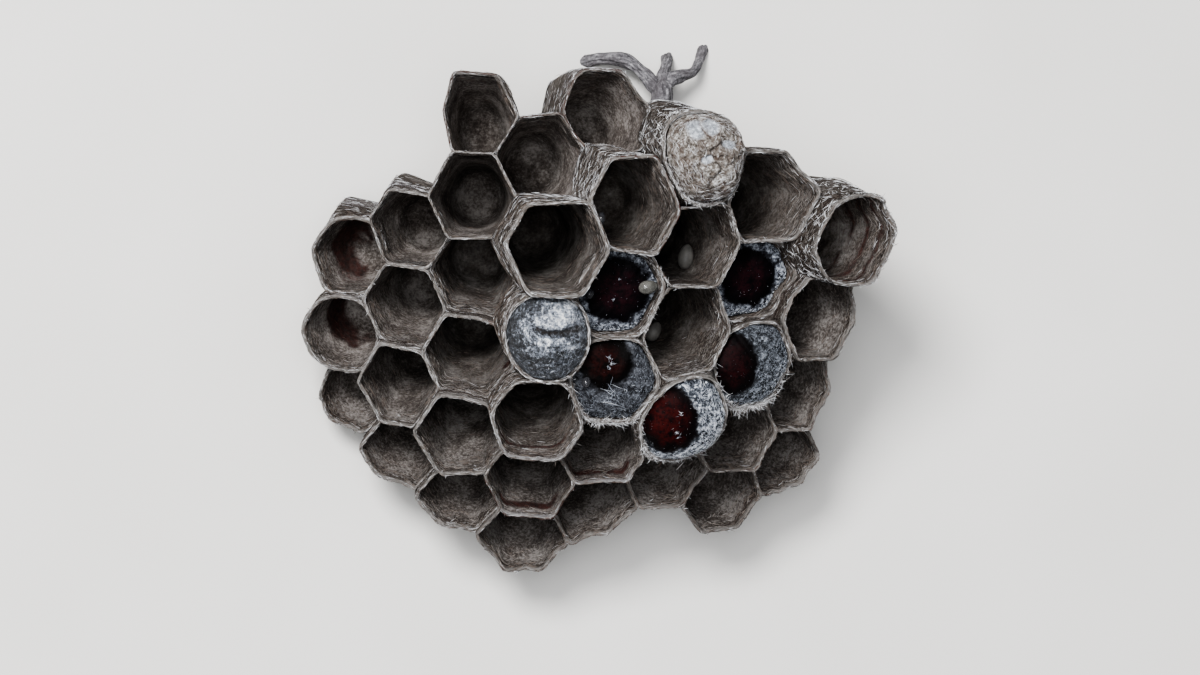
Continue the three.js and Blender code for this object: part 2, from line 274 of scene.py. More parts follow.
class Cell:
    """One cell: its outline on the plan, its lip, and any point of its wall."""

    def __init__(self, name, column, row, mouth, stray=(0, 0), rests=False, depth=None):
        self.name, self.mouth, self.rests, self.depth = name, mouth, rests, depth
        self.stray = np.array(stray, float)
        self.middle = np.array([(column - POLE_COLUMN) * COLUMN_STEP, (row - POLE_ROW) / 2])
        self.number = column * 17 + row

    def plain_corner(self, index):
        turn = index * math.pi / 3
        return self.middle + CORNER_REACH * np.array([math.cos(turn), math.sin(turn)])

    def corner(self, index, flare):
        """A corner with its stray, at the mouths where flare is 0 and at the back where it is 1."""
        corner = self.plain_corner(index)
        owners = [c for c in cells.values() if np.hypot(*(c.middle - corner)) < CORNER_REACH + 0.1]
        centre = np.mean([c.middle for c in owners], axis=0)
        stray = np.mean([c.stray for c in owners], axis=0)
        outward = corner - centre
        free = 3 - len(owners)
        spread = TOP_FLARE * flare if outward[1] > 0.1 and free else -free / 2 * OUTER_CORNER_PULL
        place = np.floor(corner * 6 + 0.5) @ SCRAMBLE[:2]
        mixed = np.sin(place + np.array([0, 5])) * 437.5453
        wander = (2 * (mixed - np.floor(mixed)) - 1) * CORNER_WANDER
        shift = np.zeros(2)
        for (name, other), aside in CORNER_SHIFTS.items():
            if np.hypot(*(cells[name].plain_corner(other) - corner)) < 0.1:
                shift += aside
        return corner + stray + wander + shift + outward * spread / CORNER_REACH

    def neighbour(self, side):
        """The cell past the side that follows the corner of that number, or None."""
        turn = (side + 0.5) * math.pi / 3
        target = self.middle + np.array([math.cos(turn), math.sin(turn)])
        return next((c for c in cells.values() if np.hypot(*(c.middle - target)) < 0.1), None)

    def loop(self, corners):
        """The fine loop through six corners, around the hub."""
        share = np.linspace(0, 1, LOOP // 6, endpoint=False)[:, None]
        sides = [corners[k] * (1 - share) + corners[(k + 1) % 6] * share for k in range(6)]
        return np.concatenate(sides) - self.hub

    def settle(self):
        """Works out what needs the other cells."""
        self.corners = {flare: np.array([self.corner(k, flare) for k in range(6)]) for flare in (0, 1)}
        self.hub = self.corners[0].mean(axis=0)
        loops = {flare: self.loop(corners) for flare, corners in self.corners.items()}
        mouth = self.corners[0].copy()
        for (name, index), pull in MOUTH_PULLS.items():
            if name == self.name:
                mouth[index] += pull
        mouth_loop = rounded(self.loop(mouth), ROUND_MOUTHS.get(self.name, SHARP_MOUTH))
        width = LOW_LIP_WIDTH if self.name[0] in LOW_COLUMNS else LIP_WIDTH
        width = THIN_LIP_WIDTH if self.name in THIN_LIPS else width
        self.lip_loop = mouth_loop * (1 - WALL / PITCH * width)
        self.deep_loop = rounded(loops[0], 0.06) * INSIDE
        self.beyond = [self.neighbour(side) for side in range(6)]
        free = np.repeat([0.0 if other else 1.0 for other in self.beyond], LOOP // 6)
        self.free = np.clip(rounded(np.stack([free, free], axis=1), 0.02)[:, 0], 0, 1)
        reach = 1 + (OUTSIDE - 1) * (0.6 + 0.4 * self.free[:, None])
        # how far each side stands over the neighbouring lip
        drop = [self.mouth - other.mouth if other else HIGHEST_DROP for other in self.beyond]
        drop = np.repeat(np.clip(drop, 0, HIGHEST_DROP), LOOP // 6)
        self.drop = rounded(np.stack([drop, drop], axis=1), 0.03)[:, 0]
        round_share = self.free[:, None]
        self.outer = {
            flare: (loop * (1 - round_share) + rounded(loop, 0.02) * round_share) * reach
            for flare, loop in loops.items()
        }
        self.outer_lip = mouth_loop * (1 + (reach - 1) * width)
        self.lip_height = COLLAR if self.name in COLLARS else LOW_COLLAR
        self.settle_back()
        self.settle_lip()

    def settle_back(self):
        """Sets where the cell starts, so that none of it lies under the floor."""
        natural = BACK_RADIUS + EDGE_BACK_STEP * self.middle @ self.middle
        dip = FLOOR_CUT if self.rests else 0
        lowest = -np.inf
        for share, width in ((0, 0.5), (0.2, 0.8), (1, 1)):
            corners = self.corners[0] * (1 - share) + self.corners[1] * share
            plan = self.hub + (corners - self.hub) * width * OUTSIDE
            rise = on_dome(plan, np.ones(6))[:, 2] - DOME_CENTRE[2]
            lowest = max(lowest, ((-dip - DOME_CENTRE[2]) / rise - share * BOTTOM_CURVE).max())
        self.back = lowest if self.rests else max(natural, lowest)
        self.floor = self.mouth - self.depth if self.depth else self.back + FLOOR

    def settle_lip(self):
        """Sets the line of the lip: it follows the neighbours' lips, sags and is a little ragged."""
        around = np.arange(LOOP) / LOOP
        levels = []
        for k in range(6):
            owners = [self] + [other for other in (self.beyond[k - 1], self.beyond[k]) if other]
            levels.append(np.mean([c.mouth for c in owners]))
            other = self.beyond[k]
            levels.append((self.mouth + other.mouth) / 2 if other else self.mouth)
        target = np.interp(around * 12, np.arange(13), levels + levels[:1])
        sag = LIP_SAG * np.sin(math.pi * (around * 6 % 1)) ** 2
        place = (self.hub + self.lip_loop / INSIDE) * PITCH
        wave = LIP_WAVE * (drift(place, 1.3, 3) + 0.6 * drift(place, 0.5, 4))
        wave += 0.16 * self.free * drift(place, 0.8, 5) + LIP_FRAY * drift(place, 0.17, 8)
        self.lip_line = self.mouth + LIP_BLEND * (target - self.mouth) - sag + wave

    def pick(self, line, around):
        """The value of a loop at any place around the cell, from 0 to 1."""
        at = (np.asarray(around, float) % 1) * LOOP
        low = np.floor(at).astype(int)
        share = (at - low).reshape(at.shape + (1,) * (line.ndim - 1))
        return line[low % LOOP] * (1 - share) + line[(low + 1) % LOOP] * share

    def lip(self, around):
        return self.pick(self.lip_line, around)

    def relief(self, around, depth):
        """How far the strips that the wall was laid down in stand out."""
        place = on_ring(np.asarray(around) * math.tau, 1.2, depth * 2.4 + self.number)
        bumps = 0.02 * drift(place, 1.2, 6) + 0.014 * drift(place * [3, 3, 1.6], 0.6, 7)
        return bumps + 0.012 * drift(place * [5, 5, 4], 0.7, 9)

    def wall(self, around, depth, side):
        """Points of the wall. depth is under the lip. side is -1 on the inner face, 1 on the outer."""
        around, depth, side = np.broadcast_arrays(np.asarray(around, float), depth, side)
        deep = smooth(depth, 0.5, 7)[..., None]
        inner = self.pick(self.lip_loop, around) * (1 - deep) + self.pick(self.deep_loop, around) * deep
        height = self.mouth - self.back - BOTTOM_CURVE
        flare = np.clip(depth / height, 0, 1)[..., None]
        outer = self.pick(self.outer[0], around) * (1 - flare) + self.pick(self.outer[1], around) * flare
        taper, lean_x, lean_y, bulge = COLLARS.get(self.name, (0, 0, 0, 0))
        high = smooth(1 - np.clip(depth, 0, None) / self.lip_height)[..., None]
        outer = outer * (1 - high) + self.pick(self.outer_lip, around) * high
        drop = np.maximum(self.pick(self.drop, around), 0.01)
        hump = np.sin(math.pi * np.clip(depth / drop, 0, 1)) * smooth(drop, 1, 3.5)
        faces = smooth(np.cos(around * math.tau - BULGE_FACES), 0, 0.7)
        outer = outer * (1 + bulge * hump * faces)[..., None]
        across = ((side + 1) / 2)[..., None]
        plan = inner * (1 - across) + outer * across
        plan = plan * (1 + self.relief(around, depth) * np.abs(side) * 2 / PITCH)[..., None]
        plan = plan * (1 - taper * high) + np.array([lean_x, lean_y]) * high
        return on_dome(self.hub + plan, self.lip(around) - depth)

    def bottom(self, around, share, width, inner):
        """Points of the rounded bottom. share runs from 0 at the bottom to 1 at the wall."""
        around = np.asarray(around, float)
        if inner:
            plan = self.pick(self.deep_loop, around) * width
            radius = self.floor + share * BOTTOM_CURVE
        else:
            plan = self.pick(self.outer[0], around) * (1 - share) + self.pick(self.outer[1], around) * share
            plan = plan * width
            radius = self.back + share * BOTTOM_CURVE
        return on_dome(self.hub + plan, np.full(around.shape, radius))


cells = {name: Cell(name, *values) for name, values in CELLS.items()}
for cell in cells.values():
    cell.settle()

# ---- Mesh making -----------------------------------------------------------------------------------


def placed(name, data):
    """A new object with that data, linked into the scene."""
    thing = bpy.data.objects.new(name, data)
    bpy.context.scene.collection.objects.link(thing)
    return thing


def as_mesh(name, body):
    """The bmesh as a mesh. The bmesh is freed."""
    mesh = bpy.data.meshes.new(name)
    body.to_mesh(mesh)
    body.free()
    return mesh


def add_mark(mesh, name, values):
    """A named value for every point of the mesh."""
    layer = mesh.attributes.new(name, "FLOAT", "POINT")
    layer.data.foreach_set("value", np.ascontiguousarray(values, np.float32).ravel())


def finish_piece(name, mesh, material, slot, *nodes):
    """Makes the piece of that mesh, riding on the nest and standing for the CAD nodes."""
    mesh.polygons.foreach_set("use_smooth", np.ones(len(mesh.polygons), bool))
    piece = placed(name, mesh)
    mesh.materials.clear()
    mesh.materials.append(material)
    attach(piece, "root")
    if nodes:
        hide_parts(*nodes)


def place_points(mesh, points):
    """Sets the mesh's points, given in millimetres."""
    mesh.vertices.foreach_set("co", np.ascontiguousarray(points * MM, np.float32).ravel())
    mesh.update()


def rolled_sheet(rows, marks, uvs):
    """A bmesh sheet rolled up into a closed body.

    rows is an array of rows of points, each row once around with its first point repeated. marks are
    named values for every point, and uvs are the sheet's own coordinates.
    """
    height, width = rows.shape[:2]
    sheet = bmesh.new()
    bmesh.ops.create_grid(sheet, x_segments=width - 1, y_segments=height - 1, size=0.5)
    mesh = as_mesh("sheet", sheet)
    place_points(mesh, rows.reshape(-1, 3))
    for name, values in marks.items():
        add_mark(mesh, name, values)
    corner_of = np.zeros(len(mesh.loops), int)
    mesh.loops.foreach_get("vertex_index", corner_of)
    layer = mesh.uv_layers.new(name="UVMap")
    layer.data.foreach_set("uv", uvs.reshape(-1, 2)[corner_of].astype(np.float32).ravel())
    body = bmesh.new()
    body.from_mesh(mesh)
    bpy.data.meshes.remove(mesh)
    bmesh.ops.remove_doubles(body, verts=body.verts, dist=1e-7)
    bmesh.ops.recalc_face_normals(body, faces=body.faces)
    return body


def cut_at_floor(body):
    """Cuts away what lies under the floor and closes the cut."""
    if min(v.co.z for v in body.verts) >= 0:
        return
    everything = list(body.verts) + list(body.edges) + list(body.faces)
    bmesh.ops.bisect_plane(body, geom=everything, plane_co=(0, 0, 0), plane_no=(0, 0, 1), clear_inner=True)
    bmesh.ops.holes_fill(body, edges=[e for e in body.edges if e.is_boundary])


def gathered(name, bodies):
    """All the bodies in one mesh."""
    total = bmesh.new()
    for body in bodies:
        part = as_mesh("part", body)
        total.from_mesh(part)
        bpy.data.meshes.remove(part)
    return as_mesh(name, total)


STRAND_RINGS = 3
STRAND_STEP = 10  # how far apart the strands are copied before they are put in place


def strand_template():
    """A straight three-sided strand along Z, one unit from ring to ring, closed at both ends."""
    body = bmesh.new()
    bmesh.ops.create_circle(body, cap_ends=True, segments=3, radius=1)
    edges = list(body.edges)
    for _ in range(STRAND_RINGS - 1):
        grown = bmesh.ops.extrude_edge_only(body, edges=edges)["geom"]
        verts = [part for part in grown if isinstance(part, bmesh.types.BMVert)]
        edges = [e for e in grown if isinstance(e, bmesh.types.BMEdge) and set(e.verts) <= set(verts)]
        bmesh.ops.translate(body, verts=verts, vec=(0, 0, 1))
    bmesh.ops.contextual_create(body, geom=edges)
    bmesh.ops.recalc_face_normals(body, faces=body.faces)
    return as_mesh("strand", body)


def strands(name, paths, up, thickness, tones, material, slot):
    """Many strands in one piece.

    paths holds STRAND_RINGS points a strand, up the direction that each point faces away from the
    surface under it, thickness each strand's radius, and tones a shade from 0 to 1.
    """
    template = strand_template()
    per_strand = len(template.vertices)
    carrier = placed("carrier", template)
    array = carrier.modifiers.new("row", "ARRAY")
    array.count = len(paths)
    array.use_relative_offset = False
    array.use_constant_offset = True
    array.constant_offset_displace = (STRAND_STEP, 0, 0)
    mesh = bpy.data.meshes.new_from_object(carrier.evaluated_get(bpy.context.evaluated_depsgraph_get()))
    mesh.name = name
    shape = np.array([v.co for v in template.vertices])
    bpy.data.objects.remove(carrier)
    ring = np.round(shape[:, 2]).astype(int)
    along = unit(np.gradient(paths, axis=1))
    across = unit(np.cross(up, along))
    out = np.cross(along, across)
    thin = np.interp(np.arange(STRAND_RINGS), [0, 1, STRAND_RINGS - 2, STRAND_RINGS - 1], [0.3, 1, 1, 0.3])
    size = thickness[:, None] * thin[None, :]
    points = (
        paths[:, ring]
        + across[:, ring] * (size[:, ring] * shape[:, 0])[..., None]
        + out[:, ring] * (size[:, ring] * shape[:, 1])[..., None]
    )
    place_points(mesh, points.reshape(-1, 3))
    add_mark(mesh, "tone", np.repeat(tones, per_strand))
    finish_piece(name, mesh, material, slot)


# ---- Node helpers ----------------------------------------------------------------------------------


class Finish:
    """A material with one Principled shader, and short ways to add its nodes."""

    def __init__(self, name, **values):
        self.material = bpy.data.materials.new(name)
        self.material.use_nodes = True
        self.tree = self.material.node_tree
        self.shader = self.tree.nodes["Principled BSDF"]
        for socket, value in values.items():
            self.shader.inputs[socket.replace("_", " ")].default_value = value

    def node(self, kind, inputs, **settings):
        node = self.tree.nodes.new(kind)
        for key, value in settings.items():
            setattr(node, key, value)
        for key, value in inputs.items():
            socket = node.inputs[key]
            if isinstance(value, bpy.types.NodeSocket):
                self.tree.links.new(value, socket)
            else:
                socket.default_value = value
        return node

    def place(self):
        """Object coordinates in millimetres."""
        where = self.node("ShaderNodeTexCoord", {}).outputs["Object"]
        size = [1 / MM] * 3
        return self.node("ShaderNodeMapping", {"Vector": where, "Scale": size}).outputs["Vector"]

    def sheet(self, scale):
        """The piece's own UV map, which is in millimetres, times the scale."""
        where = self.node("ShaderNodeUVMap", {}).outputs["UV"]
        return self.node("ShaderNodeMapping", {"Vector": where, "Scale": scale}).outputs["Vector"]

    def mark(self, name):
        return self.node("ShaderNodeAttribute", {}, attribute_name=name).outputs["Fac"]

    def noise(self, where, scale=1.0, detail=3.0, rough=0.55, twist=0.0):
        values = {"Vector": where, "Scale": scale, "Detail": detail, "Roughness": rough, "Distortion": twist}
        return self.node("ShaderNodeTexNoise", values).outputs["Fac"]

    def ramp(self, factor, *stops):
        """Colours, given by their codes, at places from 0 to 1."""
        ramp = self.node("ShaderNodeValToRGB", {"Fac": factor})
        elements = ramp.color_ramp.elements
        while len(elements) < len(stops):
            elements.new(0.5)
        for element, (place, code) in zip(elements, stops):
            element.position = place
            element.color = rgb(code)
        return ramp.outputs["Color"]

    def mix(self, factor, low, high, mode="MIX"):
        """One colour over another. A colour is a socket, a code or four numbers."""
        low, high = (rgb(colour) if isinstance(colour, int) else colour for colour in (low, high))
        mix = self.node("ShaderNodeMix", {0: factor, 6: low, 7: high}, data_type="RGBA", blend_type=mode)
        return mix.outputs[2]

    def math(self, operation, first, second):
        return self.node("ShaderNodeMath", {0: first, 1: second}, operation=operation).outputs[0]

    def weighed(self, first, weight, second, second_weight):
        """The sum of two values, each times its weight."""
        parts = self.math("MULTIPLY", first, weight), self.math("MULTIPLY", second, second_weight)
        return self.math("ADD", *parts)

    def stretch(self, value, low, high, to_low=0.0, to_high=1.0):
        inputs = {"Value": value, "From Min": low, "From Max": high, "To Min": to_low, "To Max": to_high}
        return self.node("ShaderNodeMapRange", inputs, interpolation_type="SMOOTHSTEP").outputs["Result"]

    def bump(self, height, distance, strength):
        inputs = {"Height": height, "Distance": distance * MM, "Strength": strength}
        return self.node("ShaderNodeBump", inputs).outputs["Normal"]

    def wire(self, **sources):
        """Connects the sources to the shader and gives the material."""
        for socket, source in sources.items():
            self.tree.links.new(source, self.shader.inputs[socket.replace("_", " ")])
        return self.material


def rgb(code):
    """A colour in linear light from its usual six-digit code."""
    parts = [((code >> shift) & 255) / 255 for shift in (16, 8, 0)]
    return tuple(((p + 0.055) / 1.055) ** 2.4 if p > 0.04045 else p / 12.92 for p in parts) + (1.0,)


# ---- Materials -------------------------------------------------------------------------------------


def paper_finish():
    """Chewed wood fibre laid in strips: fine streaks along the rim, growth bands, stains, painted shade that
    darkens it deep down, and painted light that lifts some walls.
    """
    paper = Finish("wasp_paper", Roughness=0.95, Specular_IOR_Level=0.15)
    streak = paper.noise(paper.sheet((2.5, 11, 1)), 1.0, 4.0, 0.75, 0.6)
    fine = paper.noise(paper.sheet((7, 19, 1)), 1.0, 4.0, 0.8, 0.5)
    band = paper.noise(paper.sheet((0.25, 2.2, 1)), 1.0, 3.0, 0.6, 0.6)
    cloud = paper.noise(paper.place(), 0.6, 4.0, 0.6)
    fibre = paper.weighed(streak, 0.5, fine, 0.5)
    colour = paper.ramp(
        fibre,
        (0.4, 0x0A0808),
        (0.47, 0x2E2723),
        (0.53, 0x625A54),
        (0.59, 0x8C8986),
        (0.67, 0xC4C6C9),
    )
    shade = paper.ramp(band, (0.36, 0x7E6A62), (0.48, 0xA8A29E), (0.6, 0xE4E6E9))
    colour = paper.mix(0.8, colour, shade, "MULTIPLY")
    depth = paper.mark("depth")
    grain = paper.noise(paper.place(), 3.2, 5.0, 0.7)
    deep = paper.mix(
        0.8,
        paper.ramp(cloud, (0.35, 0x3E3631), (0.5, 0x6E6862), (0.65, 0xA09C98)),
        paper.ramp(grain, (0.35, 0x55504C), (0.5, 0xB4AFAA), (0.65, 0xFFFFFF)),
        "MULTIPLY",
    )
    colour = paper.mix(paper.stretch(depth, 0.35, 0.05, 0, 0.5), colour, 0x8C8986)
    colour = paper.mix(paper.stretch(depth, 1.2, 6.0), colour, deep)
    calm = paper.mark("calm")
    fine_grain = paper.noise(paper.place(), 6.0, 5.0, 0.75)
    blend = paper.weighed(cloud, 0.4, fine_grain, 0.6)
    even = paper.ramp(blend, (0.4, 0x25211F), (0.49, 0x4C4744), (0.58, 0x7F7B78))
    colour = paper.mix(calm, colour, even)
    # painted shade: the colour goes towards near-black as the shade mark grows, deep in the cells and low on
    # the outsides
    colour = paper.mix(paper.stretch(paper.mark("shade"), 1.0, 7.5, 0, 0.6), colour, 0x120E0C)
    # painted light: where the paper is painted paler, its colour is lifted about twofold, bluish where calm
    # is 0 and warm where it is 1
    painted_light_tint = paper.mix(calm, (2.0, 2.15, 2.4, 1), (2.25, 2.1, 1.98, 1))
    colour = paper.mix(paper.math("MULTIPLY", paper.mark("bloom"), 0.9), colour, painted_light_tint, "MULTIPLY")
    old_red = paper.ramp(grain, (0.4, 0x180B09), (0.6, 0x2E1410))
    colour = paper.mix(paper.mark("stain"), colour, old_red)
    laid = paper.weighed(streak, 0.6, fine, 1)
    height = paper.mix(paper.stretch(depth, 1.0, 5.5), laid, grain)
    return paper.wire(Base_Color=colour, Normal=paper.bump(height, 0.14, paper.stretch(calm, 0, 1, 1, 0.5)))


def fibre_finish():
    """Loose wood fibres, each with its own shade, some of them brown."""
    fibre = Finish("wood_fibre", Roughness=0.85, Specular_IOR_Level=0.3)
    colour = fibre.ramp(
        fibre.mark("tone"),
        (0.0, 0x060505),
        (0.1, 0x1C1512),
        (0.2, 0x3C150E),
        (0.3, 0x4A3D36),
        (0.42, 0x6F665F),
        (0.6, 0x94918F),
        (0.8, 0xC6C8CC),
        (1.0, 0xFAFCFF),
    )
    grain = fibre.noise(fibre.place(), 9.0, 2.0)
    colour = fibre.mix(fibre.stretch(grain, 0.4, 0.65, 0, 0.4), colour, 0x5C534C)
    return fibre.wire(Base_Color=colour)


def silver_silk_finish():
    """The dense dome of silk: crumpled, silvery with painted highlights where pale, dark grey elsewhere,
    brown in its wrinkle.
    """
    silk = Finish("silver_silk", Roughness=0.4, Specular_IOR_Level=0.6, Metallic=0.2)
    coarse = silk.noise(silk.place(), 3.6, 4.0, 0.7, 0.3)
    fine = silk.noise(silk.place(), 6.0, 4.0, 0.8)
    cloud = silk.noise(silk.place(), 0.6, 3.0, 0.6)
    grit = silk.weighed(coarse, 0.5, fine, 0.5)
    # painted highlight: the pale mark lifts the colour towards white
    pale = silk.math("SUBTRACT", silk.math("MULTIPLY", silk.mark("pale"), 0.14), 0.065)
    colour = silk.ramp(
        silk.math("ADD", grit, pale),
        (0.37, 0x08080A),
        (0.43, 0x222428),
        (0.49, 0x53575E),
        (0.55, 0xA0A8B5),
        (0.62, 0xFFFFFF),
    )
    colour = silk.mix(silk.stretch(cloud, 0.5, 0.64, 0, 0.22), colour, 0x2A2623)
    colour = silk.mix(silk.math("MULTIPLY", silk.mark("dirt"), 0.8), colour, 0x241D18)
    height = silk.weighed(coarse, 1.4, fine, 1)
    return silk.wire(Base_Color=colour, Normal=silk.bump(height, 0.16, 1.0))


def film_finish(name, middle, edge, silk_low, silk_high):
    """A thin cap: a dark glossy film in a bed of matted silk.

    The piece's window mark is 0 on the silk, near a half along the film's edge and 1 in its middle.
    """
    cap = Finish(name, Specular_IOR_Level=0.05)
    fine = cap.noise(cap.place(), 7.0, 6.0, 0.75)
    coarse = cap.noise(cap.place(), 2.8, 4.0, 0.7)
    matted = cap.weighed(fine, 0.45, coarse, 0.55)
    silk = cap.ramp(matted, (0.4, 0x121214), (0.5, silk_low), (0.62, silk_high))
    window = cap.mark("window")
    cloud = cap.noise(cap.place(), 2.0, 4.0, 0.6)
    mottled = cap.math("MULTIPLY", cap.stretch(cloud, 0.32, 0.6), cap.stretch(fine, 0.3, 0.56))
    inner = cap.math("MULTIPLY", cap.stretch(window, 0.4, 1.0), mottled)
    film = cap.mix(inner, edge, middle)
    ragged = cap.math("ADD", window, cap.math("MULTIPLY", cap.math("SUBTRACT", fine, 0.5), 0.7))
    cover = cap.stretch(ragged, 0.12, 0.34)
    colour = cap.mix(cover, silk, film)
    rough = cap.stretch(cover, 0, 1, 0.65, 0.55)
    bump = cap.bump(matted, 0.16, cap.stretch(cover, 0, 1, 1, 0.5))
    return cap.wire(Base_Color=colour, Roughness=rough, Normal=bump)


def egg_finish(name, low, high, clear, rough=0.14):
    """A pearly, partly see-through egg."""
    egg = Finish(name, Roughness=rough, Specular_IOR_Level=0.5, Transmission_Weight=clear, IOR=1.36)
    cloud = egg.noise(egg.place(), 2.0, 3.0)
    colour = egg.ramp(cloud, (0.35, low), (0.65, high))
    return egg.wire(Base_Color=colour, Normal=egg.bump(egg.noise(egg.place(), 12.0), 0.01, 0.4))


def silk_thread_finish():
    """Threads of silk, each with its own shade of bluish white."""
    silk = Finish("silk_thread", Roughness=0.45, Specular_IOR_Level=0.6)
    tones = (0.0, 0x26272B), (0.4, 0x5E626A), (0.7, 0xA4ABB7), (1.0, 0xF4F8FE)
    return silk.wire(Base_Color=silk.ramp(silk.mark("tone"), *tones))


def pulp_coat_finish():
    """Crumpled pale pulp over a cap, speckled, with smooth blisters and brown creases."""
    pulp = Finish("pulp_plates", Roughness=0.65, Specular_IOR_Level=0.4)
    fine = pulp.noise(pulp.place(), 8.0, 6.0, 0.8)
    coarse = pulp.noise(pulp.place(), 2.8, 5.0, 0.75, 0.5)
    cloud = pulp.noise(pulp.place(), 1.3, 4.0, 0.65)
    grit = pulp.weighed(fine, 0.5, coarse, 0.5)
    colour = pulp.ramp(
        grit,
        (0.4, 0x15110E),
        (0.46, 0x4C453F),
        (0.53, 0x86817B),
        (0.62, 0xCDCECF),
    )
    colour = pulp.mix(pulp.stretch(cloud, 0.5, 0.64, 0, 0.5), colour, 0x5A4C42)
    film = pulp.ramp(grit, (0.4, 0x4C4F53), (0.5, 0x858A91), (0.62, 0xC0C6CD))
    colour = pulp.mix(pulp.math("MULTIPLY", pulp.mark("pale"), 0.85), colour, film)
    colour = pulp.mix(pulp.math("MULTIPLY", pulp.mark("dirt"), 0.8), colour, 0x3A271D)
    bump = pulp.bump(grit, 0.2, pulp.stretch(pulp.mark("pale"), 0, 1, 1, 0.4))
    return pulp.wire(Base_Color=colour, Normal=bump)


def stalk_finish():
    """Hardened pulp rope: rough grey fibres with a little lavender, darker in the hollows."""
    stalk = Finish("stalk_pulp", Roughness=0.8, Specular_IOR_Level=0.3)
    streak = stalk.noise(stalk.sheet((5, 1.2, 1)), 1.0, 5.0, 0.7, 0.6)
    grain = stalk.noise(stalk.place(), 5.0, 5.0, 0.75)
    cloud = stalk.noise(stalk.place(), 0.9, 3.0)
    pulp = stalk.weighed(streak, 0.55, grain, 0.45)
    colour = stalk.ramp(pulp, (0.38, 0x242325), (0.48, 0x5A585B), (0.57, 0x868487), (0.68, 0xC6C5C9))
    colour = stalk.mix(stalk.stretch(cloud, 0.42, 0.66, 0, 0.65), colour, 0x454144)
    return stalk.wire(Base_Color=colour, Normal=stalk.bump(pulp, 0.2, 1.0))


def floor_finish():
    floor = Finish("pale_floor", Roughness=0.8, Specular_IOR_Level=0.2)
    speck = floor.noise(floor.place(), 0.05, 2.0)
    return floor.wire(Base_Color=floor.ramp(speck, (0.3, 0xC9C7C3), (0.7, 0xCFCDCA)))


# ---- The comb --------------------------------------------------------------------------------------

# The rounded bottom: share of BOTTOM_CURVE, share of the cell's width
BOTTOM_ROWS = [(0, 0), (0, 0.25), (0, 0.5), (0.09, 0.67), (0.22, 0.81), (0.45, 0.9), (0.72, 0.96), (1, 1)]
LIP_STEPS = 6
INNER_STEPS = 34
OUTER_STEPS, FREE_OUTER_STEPS = 9, 16  # the second is for cells whose outsides show
UV_STRAY = np.array([31.7, 5.3])  # so that no two cells have the same streaks
FLOOR_PAINTED_SHADE = 1.8  # how much painted shade a cell's floor gets, as if it lay that much deeper
# how quickly the painted shade inside a cell deepens with depth, where it isn't as in the others
PAINTED_SHADE_WITH_DEPTH = {
    "A1": 0.15,
    "A2": 0.15,
    "A3": 0.2,
    "B1": 0.5,
    "B4": 0.4,
    "C0": 0.45,
    "C4": 0.75,
    "C5": 0.4,
    "D1": 0.45,
    "D6": 0.4,
    "E1": 0.38,
    "F5": 0.7,
    "G5": 0.5,
    "H1": 0.5,
    "H4": 0.5,
}
# cells whose insides get painted light, as if more light reached in, and how much
PAINTED_LIGHT_INSIDES = {
    "A1": 0.3,
    "A2": 0.3,
    "A3": 0.3,
    "B1": 0.35,
    "B2": 0.25,
    "B3": 0.15,
    "B4": 0.12,
    "C0": 0.5,
    "C1": 0.35,
    "C2": 0.15,
    "C5": 0.1,
    "D1": 0.45,
    "E1": 0.45,
}
# cell, the middle of the stain around the cell, half its width, its depth, half its height
STAINS = (
    ("A1", 0.5, 0.3, 3.7, 1.35),
    ("A2", 0.5, 0.3, 4.2, 1.35),
    ("D4", 0.75, 0.19, 1.45, 0.16),
    ("D5", 0.75, 0.17, 1.0, 0.3),
    ("E5", 0.75, 0.17, 1.0, 0.3),
    ("C3", 0.98, 0.05, 1.3, 0.35),
    ("H1", 0.98, 0.36, 1.05, 0.14),
    ("H1", 0.96, 0.36, 2.2, 0.2),
    ("H1", 0.96, 0.34, 3.4, 0.2),
)
PLAIN_STAINS = ("H1",)  # cells whose stains have no pale band over them
ROW_ENDS = ("A1", "B1", "C0", "D1", "E1", "G1")  # the uppermost cells, whose outsides get the most painted light


